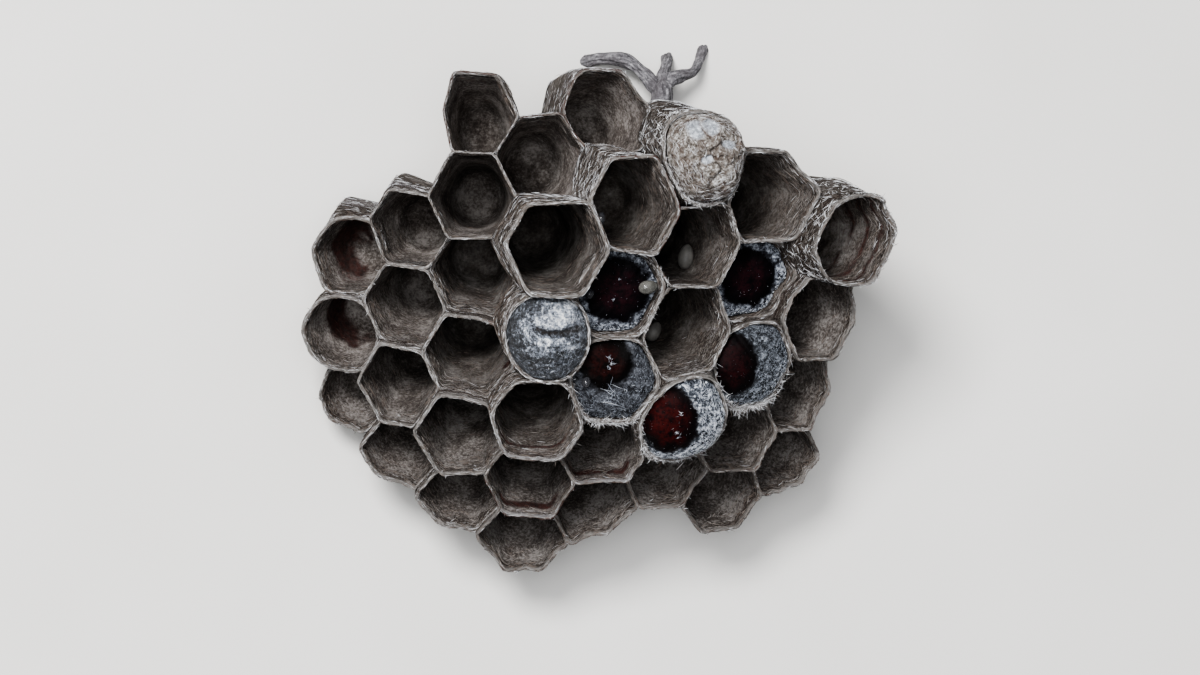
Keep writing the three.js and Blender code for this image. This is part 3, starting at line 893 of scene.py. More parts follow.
def cell_cup(cell):
    """One cell as a closed cup: up the outside, over the lip, down the inside and across the floor."""
    around = np.linspace(0, 1, AROUND + 1)
    lip = cell.lip(around)
    rows, depths = [], []

    def keep(points, depth):
        rows.append(points)
        depths.append(np.broadcast_to(depth, around.shape))

    for share, width in BOTTOM_ROWS:
        keep(cell.bottom(around, share, width, inner=False), -(cell.mouth - cell.back))
    low = lip - cell.back - BOTTOM_CURVE
    shows = None in cell.beyond or cell.name in COLLARS
    outer_steps = FREE_OUTER_STEPS if shows else OUTER_STEPS
    for step in range(1, outer_steps):
        share = (1 - step / outer_steps) ** 1.3
        depth = LIP_ROUND + (low - LIP_ROUND) * share
        keep(cell.wall(around, depth, np.ones_like(around)), -depth)
    for step in range(LIP_STEPS + 1):
        turn = math.pi * step / LIP_STEPS
        depth = LIP_ROUND * (1 - math.sin(turn))
        keep(cell.wall(around, np.full_like(around, depth), np.full_like(around, math.cos(turn))), depth)
    low = lip - cell.floor - BOTTOM_CURVE
    for step in range(1, INNER_STEPS):
        share = (step / INNER_STEPS) ** 1.35
        depth = LIP_ROUND + (low - LIP_ROUND) * share
        keep(cell.wall(around, depth, -np.ones_like(around)), depth)
    for share, width in reversed(BOTTOM_ROWS):
        keep(cell.bottom(around, share, width, inner=True), cell.mouth - cell.floor - share * BOTTOM_CURVE)

    rows, depths = np.array(rows), np.array(depths)
    across = np.broadcast_to(around * PERIMETER, depths.shape)
    uvs = np.stack([across, depths], axis=-1) + cell.number * UV_STRAY
    wall_end = cell.mouth - cell.floor - BOTTOM_CURVE
    painted_shading = np.where(depths > 0, PAINTED_SHADE_WITH_DEPTH.get(cell.name, 1.0), 1.0)
    marks = {
        "depth": np.abs(depths),
        # shade is painted shade: darker with depth inside the cells and under the lip outside, darkest on the
        # floors
        "shade": np.abs(depths) * painted_shading + FLOOR_PAINTED_SHADE * smooth(depths, wall_end - 0.5, wall_end + 1.2),
        "calm": (0.7 if cell.name in SMOOTH_CELLS else 0.4) * smooth(depths, 0.2, 0.9),
        "stain": stain_of(cell, around, depths),
        "bloom": painted_light_and_pale_of(cell, around, depths),
    }
    body = rolled_sheet(rows, marks, uvs)
    cut_at_floor(body)
    return body


def stain_of(cell, around, depths):
    """Where old meconium shows through the inside of the wall, dark red-brown.

    Depths on the outside are negative.
    """
    turn = np.broadcast_to(around, depths.shape)
    total = np.zeros_like(depths)
    for name, middle, wide, deep, tall in STAINS:
        if name != cell.name:
            continue
        wobble = drift(on_ring(turn * math.tau, 2, depths), 0.6, cell.number)
        across = smooth((wide - apart(turn, middle)) / wide + 0.15 * wobble, 0, 0.3)
        along = smooth((tall - np.abs(depths - deep)) / tall + 0.3 * wobble, 0, 0.5)
        total = np.maximum(total, across * along * 0.92)
    return total


def painted_light_and_pale_of(cell, around, depths):
    """Where the paper is painted paler: painted light on the outsides that face up the comb and inside some
    cells, and the pale band over a stain.
    """
    turn = np.broadcast_to(around, depths.shape)
    place = np.stack([turn * 12, depths * 0.8], axis=-1)
    # painted light, in patches, on the outsides that face up the comb, strongest on the uppermost cells
    patch = smooth(drift(place, 1.1, cell.number + 3), -0.4, 0.5)
    faces_up = smooth(np.sin(turn * math.tau), 0.25, 0.8) * (depths < 0)
    bloom = patch * faces_up * (1.0 if cell.name in ROW_ENDS else 0.35)
    bottom = cell.mouth - cell.floor - BOTTOM_CURVE
    # painted light inside the cells listed, with less of it on the floor
    inside = smooth(depths, 0.3, 2.0) * (1 - 0.55 * smooth(depths, bottom - 0.5, bottom + 1.2))
    bloom = bloom + PAINTED_LIGHT_INSIDES.get(cell.name, 0) * inside
    for name, middle, wide, deep, tall in STAINS:
        if name != cell.name or name in PLAIN_STAINS:
            continue
        if tall > 1:
            bloom = bloom + 0.4 * smooth(depths, deep + tall, deep + tall + 1)
        else:
            above = smooth(deep - tall - depths, 0, 0.1) * (depths > 0)
            bloom = bloom + 0.4 * smooth((wide - apart(turn, middle)) / wide, 0, 0.3) * above
    return np.clip(bloom, 0, 1)


COMB_PIECES = {"comb_left": "ABC", "comb_middle": "DE", "comb_right": "FGH"}


def comb():
    for name, columns in COMB_PIECES.items():
        mesh = gathered(name, [cell_cup(cell) for cell in cells.values() if cell.name[0] in columns])
        finish_piece(name, mesh, PAPER, "paper", "comb")


# ---- Fibres ----------------------------------------------------------------------------------------

ALONG = np.linspace(-0.5, 0.5, STRAND_RINGS)  # the rings of a strand, from its middle
# how many fibres a cell has: along its lip, on its inside, on its outside, and its loose ends
LIP_FIBRES = 350
INNER_FIBRES = 420
SMOOTH_UPPER_FIBRES, SMOOTH_LOWER_FIBRES = 200, 90
COLLAR_FIBRES = 1350
RIM_FIBRES = 320
STRAY_ENDS = 16
PULP_FIBRES = 1500
OUTER_TRIES = 8  # places tried for each fibre outside, as many of them are hidden
FIBRE_CLEARANCE = 0.12  # how far every fibre stays above what the comb lies on
# how pale the fibres of a lip are, where they aren't as in the others; the darker lips of the lowest cells
# are painted shade
LIP_TONES_AND_PAINTED_SHADE = {
    "D3": 0.8,
    "F4": 0.64,
    "D5": 0.5,
    "D6": 0.48,
    "E5": 0.48,
    "E6": 0.46,
    "F5": 0.46,
    "G4": 0.48,
    "G5": 0.48,
    "H2": 0.5,
    "H3": 0.48,
    "H4": 0.48,
}
# cells whose insides are smooth and even
SMOOTH_CELLS = (
    *("A1", "A2", "A3", "B1", "B2", "B3", "B4", "C0", "C1", "C4", "C5", "D1", "D5", "D6"),
    *("E1", "E5", "E6", "F5", "G4", "G5", "H2", "H3", "H4"),
)
# how pale the outside fibres of the tall cells are; D3's low value is partly the shade on its flank, painted
# in
OUTER_TONES = {"D2": 0.5, "D3": 0.38, "D4": 0.46, "E2": 0.62, "F1": 0.68, "H1": 0.72}
BANDED = ("F1", "H1")  # cells whose growth bands stand out, with black gaps between the fibres outside
BAND_STEP = 0.75
# cell: the middle of the stretch of lip that is built of brown fibre
BROWN_LIPS = {"C0": 0.4, "D1": 0.25, "E1": 0.4, "E2": 0.1, "C3": 0.95, "D5": 0.75}
# where loose ends stick out: cell, middle, spread, how many, how long
TUFTS = [
    ("F2", 0.62, 0.025, 50, 0.5),
    ("E3", 0.88, 0.05, 110, 0.35),
    ("E4", 0.74, 0.11, 360, 0.62),
    ("F4", 0.62, 0.09, 180, 0.6),
    ("F4", 0.8, 0.08, 100, 0.35),
    ("G3", 0.76, 0.1, 440, 0.8),
    ("G2", 0.66, 0.04, 90, 0.6),
    ("B3", 0.2, 0.06, 50, 0.2),
    ("C3", 0.33, 0.08, 50, 0.2),
    ("E5", 0.1, 0.05, 60, 0.5),
    ("F1", 0.68, 0.09, 260, 0.45),
    ("H1", 0.05, 0.12, 160, 0.35),
]


class Bundle:
    """Strands gathered from many places, made into one piece at the end."""

    def __init__(self):
        self.parts = []

    def add(self, paths, ups, sizes, tones):
        self.parts.append((paths, ups, sizes, np.clip(tones, 0, 1)))

    def make(self, name, material, slot):
        return strands(name, *[np.concatenate(part) for part in zip(*self.parts)], material, slot)


def band_tone(cell, around, depth):
    """How pale the strip of paper at that place is, from -1 to 1."""
    return drift(on_ring(around * math.tau, 0.9, depth * 1.7 + cell.number * 3.1), 1.0, 31)


def facing(cell, around, depth, side):
    """The direction that a wall's face looks in, from points a short step apart."""
    here = cell.wall(around, depth, side)
    ahead = cell.wall(around + 0.004, depth, side) - here
    lower = cell.wall(around, depth + 0.1, side) - here
    return unit(np.cross(ahead, lower) * side[..., None])


def lip_strands(bundle, cell, rng, count):
    """Fibres along a lip: on its rounded edge and a little way down both faces."""
    length = rng.uniform(0.18, 0.75, count) / PERIMETER
    around = rng.random(count)[:, None] + ALONG * length[:, None]
    turn = rng.uniform(-0.25, 1.25, count)
    below = np.maximum(np.maximum(-turn, turn - 1), 0) * 1.6
    over = np.clip(turn, 0, 1) * math.pi
    lift = rng.exponential(0.012, count)
    slope = rng.normal(0, 0.1, count)
    depth = (LIP_ROUND * (1 - np.sin(over)) + below - lift)[:, None] + slope[:, None] * ALONG
    side = np.cos(over)[:, None] * (1 + lift[:, None] * 2) * np.ones_like(around)
    points = cell.wall(around, depth, side)
    radial = unit(points - DOME_CENTRE)
    up = facing(cell, around, depth, np.where(side < 0, -1.0, 1.0)) * np.abs(np.cos(over))[:, None, None]
    up += radial * np.sin(over)[:, None, None]
    low = cell.name[0] in LOW_COLUMNS
    tones = rng.normal(LIP_TONES_AND_PAINTED_SHADE.get(cell.name, 0.6), 0.1 if low else 0.15, count)
    tones = np.where(rng.random(count) < (0.14 if low else 0.2), rng.uniform(0.0, 0.12, count), tones)
    tones = np.where(rng.random(count) < 0.1, rng.uniform(0.26, 0.36, count), tones)
    if cell.name in BROWN_LIPS:
        edge = apart(around[:, 1], BROWN_LIPS[cell.name])
        brown = (edge < 0.24) & (turn < 0.6) & (rng.random(count) < 0.8)
        tones = np.where(brown, rng.uniform(0.18, 0.27, count), tones)
    bundle.add(points, up, rng.uniform(0.011, 0.024, count), tones)


def bare(cell, around, depth):
    """Whether that place on the outside of a cell stands free of its neighbours and of the floor."""
    side = (around % 1 * 6).astype(int)
    hidden = np.array([other.mouth if other else 0.0 for other in cell.beyond])
    above_floor = cell.wall(around, depth, np.ones_like(around))[:, 2] > FIBRE_CLEARANCE
    radius = cell.lip(around) - depth
    return (radius > hidden[side]) & (radius > cell.back + BOTTOM_CURVE) & above_floor


def face_strands(bundle, cell, rng, count, side_sign, deepest, pale):
    """Fibres laid into the inside or the outside of a wall, down to a depth."""
    outside = side_sign > 0
    smooth_inside = cell.name in SMOOTH_CELLS and not outside
    streaked = cell.name in BANDED and outside
    if smooth_inside:
        spread, painted_depth_shade, dark = 0.07, 0.03, 0.06
    elif outside:
        spread, painted_depth_shade, dark = 0.2 if cell.name in COLLARS else 0.13, 0.0, 0.46 if streaked else 0.36
    else:
        spread, painted_depth_shade, dark = 0.12, 0.06, 0.2

    tries = count * OUTER_TRIES if outside else count
    middle = rng.random(tries)
    deepest = deepest if outside else min(deepest, cell.mouth - cell.floor - BOTTOM_CURVE)
    depth = LIP_ROUND + rng.random(tries) ** 1.4 * deepest
    if outside:
        kept = np.flatnonzero(bare(cell, middle, depth))[:count]
        middle, depth = middle[kept], depth[kept]
    count = len(middle)
    length = rng.uniform(0.18, 0.7, count) / PERIMETER * (0.65 if streaked else 1)
    around = middle[:, None] + ALONG * length[:, None]
    slope = rng.normal(0, 0.17, count) * (1.6 if streaked else 1)
    bend = rng.normal(0, 0.03, count)
    line = depth[:, None] + slope[:, None] * ALONG + bend[:, None] * (ALONG * 2) ** 2
    side = np.full_like(around, side_sign)
    lift = rng.uniform(0.02, 0.2, count)
    points = cell.wall(around, line, side * (1 + lift[:, None]))
    points[..., 2] = np.maximum(points[..., 2], FIBRE_CLEARANCE)
    up = facing(cell, around, line, side)
    band = band_tone(cell, around[:, 1], depth)
    tones = pale - (0.08 if smooth_inside else 0) + 0.16 * band + rng.normal(0, spread, count)
    # painted shade: the fibres of the inside darken with depth
    tones -= painted_depth_shade * depth
    # the outside fibres take the same painted light as the paper under them
    if outside:
        tones += 0.4 * painted_light_and_pale_of(cell, middle, -depth)
    if cell.name in BANDED:
        tones += 0.17 * np.sin(depth * math.tau / BAND_STEP + 4 * np.cos(middle * math.tau))
    if streaked:
        tones += 0.1
    tones = np.where(rng.random(count) < dark, rng.uniform(0, 0.1, count), np.maximum(tones, 0.33))
    tones = np.where(stain_of(cell, middle, depth * -side_sign) > 0.35, rng.uniform(0.14, 0.24, count), tones)
    thick = 0.019 if outside else 0.024
    bundle.add(points, up, rng.uniform(0.01, thick, count), tones)


def tuft(bundle, cell, rng, count, middle, spread, reach):
    """Loose ends that stand out of a lip, around one place on it."""
    place = rng.normal(middle, spread, count)
    around = place[:, None] + ALONG * (rng.normal(0, 0.5, count) * reach / PERIMETER)[:, None]
    rise = rng.uniform(0.0, 0.6, count) * reach
    from_root = ALONG[None, :] + 0.5
    depth = 0.06 - from_root * rise[:, None]
    side = rng.uniform(-1, 1, count)[:, None] + from_root * rng.normal(0, 4 * reach, count)[:, None]
    points = cell.wall(around, np.maximum(depth, 0.0), side)
    radial = unit(points - DOME_CENTRE)
    points = points + radial * np.maximum(-depth, 0)[..., None]
    bundle.add(points, radial, rng.uniform(0.009, 0.016, count), rng.normal(0.72, 0.2, count))


def paper_fibres(rng):
    """All the fibres of the paper, in five pieces."""
    lips, upper, lower, outer, loose = (Bundle() for _ in range(5))
    for cell in cells.values():
        lip_strands(lips, cell, rng, LIP_FIBRES)
        if cell.name in SMOOTH_CELLS:
            face_strands(upper, cell, rng, SMOOTH_UPPER_FIBRES, -1.0, 1.6, 0.5)
            face_strands(lower, cell, rng, SMOOTH_LOWER_FIBRES, -1.0, 5.5, 0.46)
        else:
            face_strands(upper, cell, rng, INNER_FIBRES, -1.0, 2.0, 0.5)
            face_strands(lower, cell, rng, INNER_FIBRES, -1.0, 5.5, 0.46)
        if cell.name in COLLARS:
            face_strands(outer, cell, rng, COLLAR_FIBRES, 1.0, 4.5, OUTER_TONES[cell.name])
        elif None in cell.beyond:
            face_strands(outer, cell, rng, RIM_FIBRES, 1.0, 8.0, 0.56)
        tuft(loose, cell, rng, STRAY_ENDS, rng.random(), 0.4, 0.35)
    for cell_name, middle, spread, count, reach in TUFTS:
        tuft(loose, cells[cell_name], rng, count, middle, spread, reach)
    pulp_strands(loose, rng, PULP_FIBRES)
    lips.make("lip_fibres", FIBRE, "paper")
    upper.make("upper_wall_fibres", FIBRE, "paper")
    lower.make("lower_wall_fibres", FIBRE, "paper")
    outer.make("outer_wall_fibres", FIBRE, "paper")
    loose.make("frayed_fibres", FIBRE, "paper")


# ---- Caps ------------------------------------------------------------------------------------------

# cap: cell, seat under the lip, rise of the middle, finish, window (its middle and half its size, as
# shares of the cell's half width, then its turn in degrees) and how many silk threads lie on it
CAPS = {
    "cap_silk_dome": ("D3", 0.16, 1.45, "silver", None, 2200),
    "cap_paper_dome": ("F1", 0.1, 1.9, "plates", None, 0),
    "cap_dark_upper": ("E3", 1.0, 0.35, "purple", (-0.04, 0.03, 1.0, 0.94, 0), 2600),
    "cap_dark_lower": ("E4", 0.45, 0.7, "dark", (-0.24, 0.46, 0.8, 0.7, 0), 1500),
    "cap_red": ("F4", 0.18, 1.2, "red", (-0.54, 0.16, 0.86, 1.0, 15), 2400),
    "cap_dark_right": ("G2", 0.8, 0.4, "purple", (-0.04, 0.04, 0.94, 0.88, 0), 2000),
    "cap_grey_right": ("G3", 0.3, 0.95, "dark_red", (-0.6, 0.1, 0.68, 0.9, 8), 1800),
}
CAP_SLOTS = {
    "silver": "silk_white",
    "plates": "pulp_coat",
    "purple": "silk_dark",
    "dark": "silk_dark",
    "red": "silk_red",
    "dark_red": "silk_red",
}
# how pale the threads on each finish are, and how much that varies
SILK_TONES = {
    "silver": (0.42, 0.26),
    "purple": (0.58, 0.26),
    "dark": (0.38, 0.17),
    "red": (0.66, 0.28),
    "dark_red": (0.42, 0.16),
}
SHORT_THREAD = 0.24  # the longest of the threads that a cap is matted with
# scraps of loose silk on a cap: cap, middle, spread, how many threads, the longest of them
SCRAPS = (
    ("cap_dark_lower", -0.12, 0.6, 0.03, 10, SHORT_THREAD),
    ("cap_dark_lower", -0.06, 0.48, 0.035, 12, SHORT_THREAD),
    ("cap_dark_lower", -0.14, 0.38, 0.03, 9, SHORT_THREAD),
    ("cap_dark_lower", 0.0, -0.3, 0.12, 14, SHORT_THREAD),
    ("cap_dark_lower", -0.05, -0.3, 0.16, 16, 1.3),
    ("cap_red", -0.3, 0.4, 0.03, 9, SHORT_THREAD),
    ("cap_red", -0.3, -0.08, 0.03, 11, SHORT_THREAD),
    ("cap_red", -0.26, -0.2, 0.02, 6, SHORT_THREAD),
    ("cap_dark_upper", 0.0, 0.3, 0.015, 8, SHORT_THREAD),
    ("cap_dark_upper", -0.1, -0.2, 0.015, 8, SHORT_THREAD),
)
CAP_THICKNESS = 0.5
CAP_STEPS, CAP_RINGS, CAP_UNDER_RINGS = 144, 56, 8
PLATE_SIZE = 1.1
# smooth blisters in the pulp over one cap, as shares of the cell's half width: middle, half size, brown rim
BLISTERS = (
    (-0.4, 0.55, 0.17, 0.22, 0.35),
    (-0.07, 0.6, 0.19, 0.22, 0.9),
    (0.26, 0.2, 0.22, 0.11, 0.0),
    (-0.25, -0.12, 0.12, 0.09, 0.2),
)
# painted highlights on the silk dome, as pale patches, in the same shares: middle, half size, how pale
PAINTED_HIGHLIGHTS = (
    (0.24, 0.62, 0.5, 0.26, 1.0),
    (0.05, 0.38, 0.55, 0.16, 0.9),
    (-0.45, 0.2, 0.22, 0.3, 0.6),
    (0.08, -0.02, 0.5, 0.13, 0.75),
    (-0.22, -0.24, 0.3, 0.12, 0.45),
    (0.46, -0.16, 0.26, 0.09, 0.8),
    (0.66, 0.3, 0.16, 0.3, 0.45),
)
WRINKLE = (0.2, 0.2, 0.62, 0.06)  # the wrinkle across the silk dome: middle, half length, half width


def blisters(plan):
    """How much of a smooth blister each place is, and how strongly its brown rim shows."""
    smooth_part, rim = np.zeros(len(plan)), np.zeros(len(plan))
    for x, y, wide, tall, rimmed in BLISTERS:
        across, up = (plan[:, 0] * 2 - x) / wide, (plan[:, 1] * 2 - y) / tall
        far = np.hypot(across, up) + 0.22 * drift(plan * PITCH, 0.4, 61)
        smooth_part = np.maximum(smooth_part, smooth(1.25 - far, 0, 0.6))
        under = 0.45 + 0.55 * smooth(-up, -0.3, 0.5)
        rim = np.maximum(rim, rimmed * under * np.exp(-(((far - 1.12) / 0.1) ** 2)))
    return smooth_part * (1 - rim), rim


def painted_highlight(plan):
    """How much painted highlight each place of the silk dome has, as paleness, and how deep in the wrinkle it
    lies.
    """
    x, y = plan[:, 0] * 2, plan[:, 1] * 2
    pale = np.zeros(len(plan))
    for across, up, wide, tall, strength in PAINTED_HIGHLIGHTS:
        far = np.hypot((x - across) / wide, (y - up) / tall) + 0.3 * drift(plan * PITCH, 0.5, 62)
        pale = np.maximum(pale, strength * smooth(1.5 - far, 0, 1.1))
    across, up, wide, tall = WRINKLE
    line = y - up - 0.05 * drift(plan * PITCH, 0.7, 63)
    deep = np.exp(-((line / tall) ** 2)) * smooth(wide - np.abs(x - across), 0, 0.15)
    return pale * (1 - deep), deep


def plates(place):
    """Height, shade and crease of crumpled flakes: each leans its own way and ends in a crease."""
    tile = place / PLATE_SIZE
    base = np.floor(tile)
    best, second = np.full(len(tile), 9.0), np.full(len(tile), 9.0)
    lean, shade = np.zeros(len(tile)), np.zeros(len(tile))
    for step in product((-1, 0, 1), repeat=2):
        spot = base + np.array(step)
        middle = spot + 0.5 + 0.42 * np.stack([hashed(spot, 41), hashed(spot, 42)], axis=1)
        away = tile - middle
        far = np.hypot(away[:, 0], away[:, 1])
        tilt = away[:, 0] * hashed(spot, 43) + away[:, 1] * hashed(spot, 44) + 0.5 * hashed(spot, 45)
        nearer = far < best
        second = np.where(nearer, best, np.minimum(second, far))
        lean = np.where(nearer, tilt, lean)
        shade = np.where(nearer, hashed(spot, 46), shade)
        best = np.where(nearer, far, best)
    crease = 1 - smooth(second - best, 0.0, 0.13)
    return lean, shade, crease


def cap_relief(finish, plan, number):
    """How far the surface of a cap stands out, how brown it is, mostly in its creases, and how pale, which on
    the silk dome is painted highlight.
    """
    place = plan * PITCH + number
    crumpled = 1 - np.abs(drift(place * [0.5, 1.6], 0.6, 11))
    fine = 1 - np.abs(drift(place, 0.24, 12))
    nothing = np.zeros(len(place))
    if finish == "plates":
        warped = place + 0.4 * np.stack([drift(place, 0.9, 51), drift(place, 0.9, 52)], axis=1)
        lean, shade, crease = plates(warped)
        blister, rim = blisters(plan)
        rough = 1 - blister
        # browner in the creases, along the blister rims and in patches
        dirt = rough * (0.35 * crease + 0.2 * shade + 0.3 * smooth(drift(place, 1.3, 53), 0, 0.8)) + rim
        height = 0.3 * lean + rough * (0.14 * crumpled + 0.12 * fine - 0.12 * crease) - 0.1 * rim
        return height, np.clip(dirt, 0, 1), blister
    if finish == "silver":
        # on the silk dome the pale mark is the painted highlights, which also stand a little higher
        pale, wrinkle = painted_highlight(plan)
        return 0.12 * crumpled + 0.08 * fine + 0.08 * pale - 0.1 * wrinkle, wrinkle, pale
    return 0.012 * crumpled + 0.012 * fine, nothing, nothing


def cap_points(cell, seat, rise, finish, around, reach, top=True):
    """Points of a cap, their place on the plan, and the marks for browning and for paleness, which on the
    silk dome is painted highlight.

    reach is 0 at the cap's middle and 1 at its edge.
    """
    taper, lean_x, lean_y, _ = COLLARS.get(cell.name, (0, 0, 0, 0))
    fill = 0.985 if finish == "silver" else 0.975
    plan = cell.pick(cell.lip_loop, around) * (reach * fill * (1 - taper))[..., None]
    bulge = np.clip(1 - reach**2, 0, 1) ** (0.8 if finish == "silver" else 0.5)
    height = (rise if top else rise - CAP_THICKNESS) * bulge
    edge = cell.lip_line.mean() + (cell.lip(around) - cell.lip_line.mean()) * reach**2
    reliefs = cap_relief(finish, plan.reshape(-1, 2), cell.number)
    relief, *marks = [part.reshape(reach.shape) for part in reliefs]
    radius = edge - seat + height + relief * (1 - reach**8)
    return on_dome(cell.hub + plan + [lean_x, lean_y], radius), plan, marks


def window_mark(plan, window):
    """1 in the middle of a cap's window, falling to 0 at its ragged edge."""
    if not window:
        return np.zeros(plan.shape[:-1])
    x, y, wide, tall, turn = window
    across, up = np.moveaxis(plan * 2 - [x, y], -1, 0)
    cos, sin = math.cos(math.radians(turn)), math.sin(math.radians(turn))
    far = np.hypot((across * cos + up * sin) / wide, (up * cos - across * sin) / tall)
    ragged = 0.1 * drift(plan * PITCH, 0.45, 13)
    return np.clip((1 - far + ragged) / 0.7, 0, 1)


def cap(name, cell_name, seat, rise, finish, window):
    """One cap as a closed body: its underside, then its top."""
    cell = cells[cell_name]
    around = np.linspace(0, 1, CAP_STEPS + 1)
    rows, windows, brownings, pales = [], [], [], []
    below = [(False, math.sin(math.pi / 2 * ring / CAP_UNDER_RINGS)) for ring in range(CAP_UNDER_RINGS)]
    above = [(True, math.sin(math.pi / 2 * (1 - ring / CAP_RINGS))) for ring in range(CAP_RINGS + 1)]
    for top, reach in below + above:
        reach = np.full_like(around, reach)
        points, plan, (dirt, pale) = cap_points(cell, seat, rise, finish, around, reach, top)
        rows.append(points)
        windows.append(window_mark(plan, window))
        brownings.append(dirt)
        pales.append(pale)
    rows = np.array(rows)
    marks = {"window": np.array(windows), "dirt": np.array(brownings), "pale": np.array(pales)}
    body = rolled_sheet(rows, marks, np.zeros(rows.shape[:2] + (2,)))
    piece_name = name.replace("cap_", "closed_")
    finish_piece(piece_name, gathered(name, [body]), CAP_FINISHES[finish], CAP_SLOTS[finish], name)


def on_cap(cell_name, seat, rise, finish, x, y):
    """Points on a cap at places given as shares of its size, the window's plan, and the way out."""
    cell = cells[cell_name]
    reach = np.clip(np.hypot(x, y), 0, 0.995)
    points, plan, _ = cap_points(cell, seat - 0.03, rise, finish, np.arctan2(y, x) / math.tau, reach)
    return points, plan, unit(points - DOME_CENTRE)


def laid_at(rng, x, y, count, longest):
    """Short straight threads in every direction around the given places."""
    heading = rng.uniform(0, math.tau, count)
    length = rng.uniform(0.2, 1.0, count) * longest / (PITCH / 2)
    x = x[:, None] + (np.cos(heading) * length)[:, None] * ALONG
    y = y[:, None] + (np.sin(heading) * length)[:, None] * ALONG
    return x, y


def silk_strands(rng):
    """Fine silk threads matted over the caps, palest towards the lower right edge of each."""
    bundle = Bundle()
    for cell_name, seat, rise, finish, window, threads in CAPS.values():
        if not threads:
            continue
        reach = np.sqrt(rng.random(threads)) * 0.98
        turn = rng.random(threads) * math.tau
        x, y = laid_at(rng, reach * np.cos(turn), reach * np.sin(turn), threads, SHORT_THREAD)
        points, plan, radial = on_cap(cell_name, seat, rise, finish, x, y)
        cover = window_mark(plan[:, 1], None if finish == "silver" else window)
        speck = rng.random(threads) < 0.03
        kept = (cover < rng.uniform(0, 0.16, threads)) | speck
        middle = points[:, 1:2]
        points = np.where((speck & (cover > 0.1))[:, None, None], middle + (points - middle) * 0.2, points)
        lower_right = (plan[:, 1, 0] - plan[:, 1, 1]) * 0.9
        tones = rng.normal(*SILK_TONES[finish], threads) + lower_right * (0.2 if finish == "dark" else 0.5)
        # the threads on the silk dome are paler under its painted highlights
        if finish == "silver":
            tones += 0.6 * (painted_highlight(plan[:, 1])[0] - 0.5)
        points = points + radial * (rng.exponential(0.02, threads)[:, None] * [0.2, 1, 0.4])[..., None]
        bundle.add(points[kept], radial[kept], rng.uniform(0.006, 0.012, threads)[kept], tones[kept])
    for name, x, y, spread, count, longest in SCRAPS:
        cell_name, seat, rise, finish, _, _ = CAPS[name]
        x, y = laid_at(rng, rng.normal(x, spread, count), rng.normal(y, spread, count), count, longest)
        points, _, radial = on_cap(cell_name, seat, rise, finish, x, y)
        points = points + radial * (rng.uniform(0, 0.06, count)[:, None] * [0.3, 1, 0.6])[..., None]
        bundle.add(points, radial, rng.uniform(0.007, 0.012, count), rng.normal(0.72, 0.12, count))
    bundle.make("silk_threads", SILK_THREAD, "silk_white")


def pulp_strands(bundle, rng, count):
    """Fibres in the pulp coat of one cap, running around it towards its edge."""
    cell_name, seat, rise, finish, _, _ = CAPS["cap_paper_dome"]
    reach = np.sqrt(rng.uniform(0.1, 1, count)) * 0.99
    turn = rng.random(count) * math.tau
    heading = turn + math.pi / 2 + rng.normal(0, 1.3, count) * (1.1 - reach)
    length = rng.uniform(0.15, 0.6, count) / (PITCH / 2)
    x = (reach * np.cos(turn))[:, None] + (np.cos(heading) * length)[:, None] * ALONG
    y = (reach * np.sin(turn))[:, None] + (np.sin(heading) * length)[:, None] * ALONG
    points, plan, radial = on_cap(cell_name, seat, rise, finish, x, y)
    bare_pulp = (blisters(plan[:, 1])[0] < 0.3) & (rng.random(count) < reach**2)
    tones = np.where(rng.random(count) < 0.4, rng.uniform(0, 0.35, count), rng.normal(0.72, 0.15, count))
    sizes = rng.uniform(0.01, 0.02, count)
    bundle.add(points[bare_pulp], radial[bare_pulp], sizes[bare_pulp], tones[bare_pulp])


# ---- Eggs ------------------------------------------------------------------------------------------

EGG_TAPER = 0.22  # by how much an egg narrows from end to end, as a share of its width
# egg: cell, across, up (shares of the way to the wall), depth under the lip, length, width, turn
EGGS = {
    "egg_by_dark_cap": ("E3", 0.66, 0.12, 0.1, 1.1, 0.75, 12),
    "egg_in_corner": ("E3", -0.7, -0.05, 0.2, 0.6, 0.5, 60),
    "egg_by_lower_cap": ("E4", -0.68, 0.05, -0.55, 0.6, 0.5, 70),
    "egg_tall_cell": ("E2", -0.55, -0.4, 1.5, 0.7, 0.45, 80),
    "egg_deep_upper": ("F2", 0.5, -0.45, 4.6, 1.42, 0.86, 80),
    "egg_deep_lower": ("F3", -0.1, -0.6, 5, 1.2, 0.8, 60),
}


def egg(name, cell_name, across, up, depth, length, width, turn):
    """One egg, blunter at one end than at the other."""
    cell = cells[cell_name]
    place = on_dome(cell.hub + np.array([across, up]) / 2, np.array(cell.mouth - depth))
    body = bmesh.new()
    bmesh.ops.create_uvsphere(body, u_segments=32, v_segments=20, radius=0.5)
    lay_down, turn_about = Matrix.Rotation(math.pi / 2, 3, "Y"), Matrix.Rotation(math.radians(turn), 3, "Z")
    bmesh.ops.rotate(body, verts=body.verts, cent=(0, 0, 0), matrix=lay_down)
    for vert in body.verts:
        blunt = 1 - EGG_TAPER * vert.co.x
        vert.co = Vector((vert.co.x * length, vert.co.y * width * blunt, vert.co.z * width * blunt))
    bmesh.ops.rotate(body, verts=body.verts, cent=(0, 0, 0), matrix=turn_about)
    bmesh.ops.translate(body, verts=body.verts, vec=place)
    bmesh.ops.scale(body, verts=body.verts, vec=(MM, MM, MM))
    piece_name = name.replace("egg_", "pearl_egg_")
    finish_piece(piece_name, gathered(name, [body]), EGG_FINISHES.get(name, EGG), "egg_shell", name)


# ---- Stalk and holdfast ----------------------------------------------------------------------------

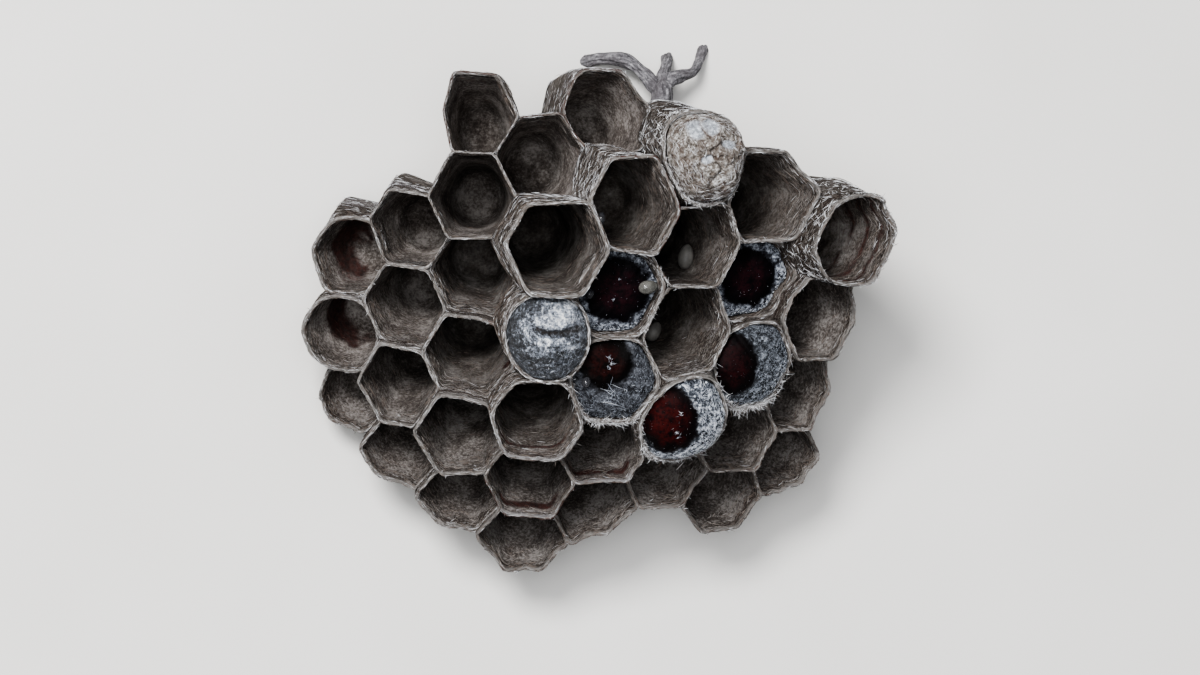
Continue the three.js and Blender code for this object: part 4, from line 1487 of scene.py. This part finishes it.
# rope: the points of its middle line, and its radius at each of them
ROPES = {
    "stalk": (
        [
            (3.2, 6.4, 5.4),
            (3.9, 8, 3.9),
            (4.7, 9.9, 3.3),
            (5.4, 11.4, 2.9),
            (5.6, 12.5, 2.55),
            (5.65, 13, 2.35),
        ],
        [1.3, 0.85, 0.62, 0.6, 0.6, 0.22],
    ),
    "holdfast_middle": (
        [(5.55, 12.3, 2.6), (5.7, 13, 2.25), (5.95, 13.5, 1.7), (6.3, 14, 0.9), (6.6, 14.4, -0.3)],
        [0.3, 0.4, 0.31, 0.34, 0.36],
    ),
    "holdfast_left": (
        [
            (5.5, 12.0, 2.65),
            (5.05, 12.75, 2.4),
            (4.4, 13.55, 2),
            (3.6, 14.15, 1.5),
            (2.5, 14.25, 0.9),
            (1.6, 14.1, -0.3),
        ],
        [0.26, 0.42, 0.33, 0.46, 0.33, 0.36],
    ),
    "holdfast_right": (
        [
            (5.65, 12.3, 2.55),
            (6.15, 12.95, 2.3),
            (6.9, 13.25, 1.9),
            (7.75, 13.5, 1.4),
            (8.25, 14.1, 0.8),
            (8.8, 15, -0.3),
        ],
        [0.26, 0.42, 0.36, 0.27, 0.27, 0.32],
    ),
}
ROPE_STEPS, ROPE_SIDES = 110, 48
ROPE_RIDGES = ((0.8, 0.2), (0.35, 0.1), (0.16, 0.05))  # size and height of the ridges along a rope


def curve_through(points, steps):
    """Points of a smooth curve through the given ones."""
    points = np.array(points, float)
    ends = np.vstack([2 * points[0] - points[1], points, 2 * points[-1] - points[-2]])
    at = np.linspace(0, len(points) - 1, steps)
    line = []
    for value in at:
        k = min(int(value), len(points) - 2)
        t = value - k
        before, start, end, after = ends[k : k + 4]
        line.append(
            0.5
            * (
                2 * start
                + (end - before) * t
                + (2 * before - 5 * start + 4 * end - after) * t**2
                + (3 * start - before - 3 * end + after) * t**3
            )
        )
    return np.array(line)


def rope(name, points, radii):
    """A rope of pulp along a curve, ridged lengthwise and cut off level with the floor."""
    line = curve_through(points, ROPE_STEPS)
    radius = np.interp(np.linspace(0, len(radii) - 1, ROPE_STEPS), np.arange(len(radii)), radii)
    along = unit(np.gradient(line, axis=0))
    across = unit(np.cross(along, [0, 0, 1.0]))
    over = np.cross(across, along)
    around = np.linspace(0, math.tau, ROPE_SIDES + 1)
    length = np.concatenate([[0], np.cumsum(np.linalg.norm(np.diff(line, axis=0), axis=1))])
    rows, uvs = [], []
    for step in range(ROPE_STEPS):
        ring = on_ring(around + length[step] * 0.25, 2.2, np.full_like(around, length[step] * 0.5))
        ridge = 1 + sum(height * drift(ring, wide, 21) for wide, height in ROPE_RIDGES)
        size = radius[step] * ridge
        rows.append(
            line[step]
            + across[step] * (np.cos(around) * size)[:, None]
            + over[step] * (np.sin(around) * size)[:, None]
        )
        uvs.append(np.stack([around / math.tau * 3, np.full_like(around, length[step])], 1))
    closed_start, closed_end = (np.repeat(end[None], ROPE_SIDES + 1, 0) for end in (line[0], line[-1]))
    rows = [closed_start] + rows + [closed_end]
    uvs = [uvs[0]] + uvs + [uvs[-1]]
    body = rolled_sheet(np.array(rows), {}, np.array(uvs))
    cut_at_floor(body)
    finish_piece(name + "_pulp", gathered(name, [body]), STALK, "stalk_fibre", name)


# ---- Build -----------------------------------------------------------------------------------------

PAPER = paper_finish()
FIBRE = fibre_finish()
SILK_THREAD = silk_thread_finish()
CAP_FINISHES = {
    "silver": silver_silk_finish(),
    "plates": pulp_coat_finish(),
    "purple": film_finish("dark_film", 0x1C090E, 0x030204, 0x3E4047, 0xB8BEC8),
    "dark": film_finish("brown_film", 0x1E0908, 0x030202, 0x343539, 0x6A6D73),
    "red": film_finish("red_film", 0x2E0A09, 0x050203, 0x3E4249, 0xF2F7FF),
    "dark_red": film_finish("dark_red_film", 0x1E090B, 0x040203, 0x2E3034, 0x8C9199),
}
EGG = egg_finish("egg_pearl", 0x5A5955, 0x84827D, 0.55)
CLEAR_EGG = egg_finish("egg_clear", 0x55555A, 0x7A7A7F, 0.85)
DEEP_EGG = egg_finish("egg_deep", 0x5C5A57, 0x75736F, 0.25, 0.5)
EGG_FINISHES = {
    "egg_in_corner": CLEAR_EGG,
    "egg_by_lower_cap": CLEAR_EGG,
    "egg_tall_cell": CLEAR_EGG,
    "egg_deep_upper": DEEP_EGG,
    "egg_deep_lower": DEEP_EGG,
}
STALK = stalk_finish()

rng = np.random.default_rng(7)
comb()
paper_fibres(rng)
for name, (*values, _) in CAPS.items():
    cap(name, *values)
silk_strands(rng)
for name, values in EGGS.items():
    egg(name, *values)
for name, values in ROPES.items():
    rope(name, *values)

# ---- Floor, light and camera -----------------------------------------------------------------------

VIEW_LEAN = math.radians(13.7)
VIEW_RIGHT = np.array([math.cos(VIEW_LEAN), 0, math.sin(VIEW_LEAN)])
VIEW_UP = np.array([0, 1.0, 0])
VIEW_TOWARDS = np.array([-math.sin(VIEW_LEAN), 0, math.cos(VIEW_LEAN)])
AIM_RIGHT, AIM_UP, AIM_TOWARDS = 6.41, -8.63, 31  # what the camera looks at, in mm from the dome's centre
AIM = DOME_CENTRE + AIM_RIGHT * VIEW_RIGHT + AIM_UP * VIEW_UP + AIM_TOWARDS * VIEW_TOWARDS
CAMERA_AWAY = 300.0  # in mm
PICTURE_PIXELS, PIXELS_A_MM = 1200, 18.1
FIELD_WIDTH = PICTURE_PIXELS / PIXELS_A_MM
SENSOR_WIDTH = 36
NEAREST, FARTHEST = 0.01, 10  # what the camera shows, in metres
FLOOR_HALF = 1.5  # in metres
# lamp: where it stands as seen from the nest, how far away and how wide in metres, power, colour
LAMPS = {
    "key": ((-0.5, 0.45, 1.0), 0.45, 0.14, 3.4, (1, 1, 1)),
    "front": ((-0.3, 0.05, 1.0), 0.5, 0.3, 2.2, (0.97, 0.98, 1.0)),
    "fill": ((0.7, -0.3, 0.8), 0.6, 0.5, 0.5, (0.93, 0.96, 1.0)),
}
SKY_COLOUR = (0.85, 0.88, 0.92, 1)
SKY_STRENGTH = 0.25


def stage():
    floor = bmesh.new()
    bmesh.ops.create_grid(floor, x_segments=1, y_segments=1, size=FLOOR_HALF)
    mesh = as_mesh("floor", floor)
    mesh.materials.append(floor_finish())
    placed("floor", mesh)


def soft_light(name, direction, distance, size, power, colour):
    lamp = bpy.data.lights.new(name, "AREA")
    lamp.shape = "DISK"
    lamp.size = size
    lamp.energy = power
    lamp.color = colour
    holder = placed(name, lamp)
    towards = Vector(direction).normalized()
    holder.location = towards * distance
    holder.rotation_euler = towards.to_track_quat("Z", "Y").to_euler()


def camera():
    lens = bpy.data.cameras.new("camera")
    lens.sensor_width = SENSOR_WIDTH
    lens.lens = SENSOR_WIDTH * CAMERA_AWAY / FIELD_WIDTH
    lens.clip_start = NEAREST
    lens.clip_end = FARTHEST
    holder = placed("camera", lens)
    turn = Matrix([VIEW_RIGHT, VIEW_UP, VIEW_TOWARDS]).transposed()
    spot = Vector((AIM + CAMERA_AWAY * VIEW_TOWARDS) * MM)
    holder.matrix_world = Matrix.Translation(spot) @ turn.to_4x4()
    bpy.context.scene.camera = holder


def sky():
    world = bpy.data.worlds.new("studio")
    world.use_nodes = True
    background = world.node_tree.nodes["Background"]
    background.inputs["Color"].default_value = SKY_COLOUR
    background.inputs["Strength"].default_value = SKY_STRENGTH
    bpy.context.scene.world = world


stage()
for name, values in LAMPS.items():
    soft_light(name, *values)
sky()
bpy.context.scene.view_settings.look = "AgX - Medium High Contrast"
camera()
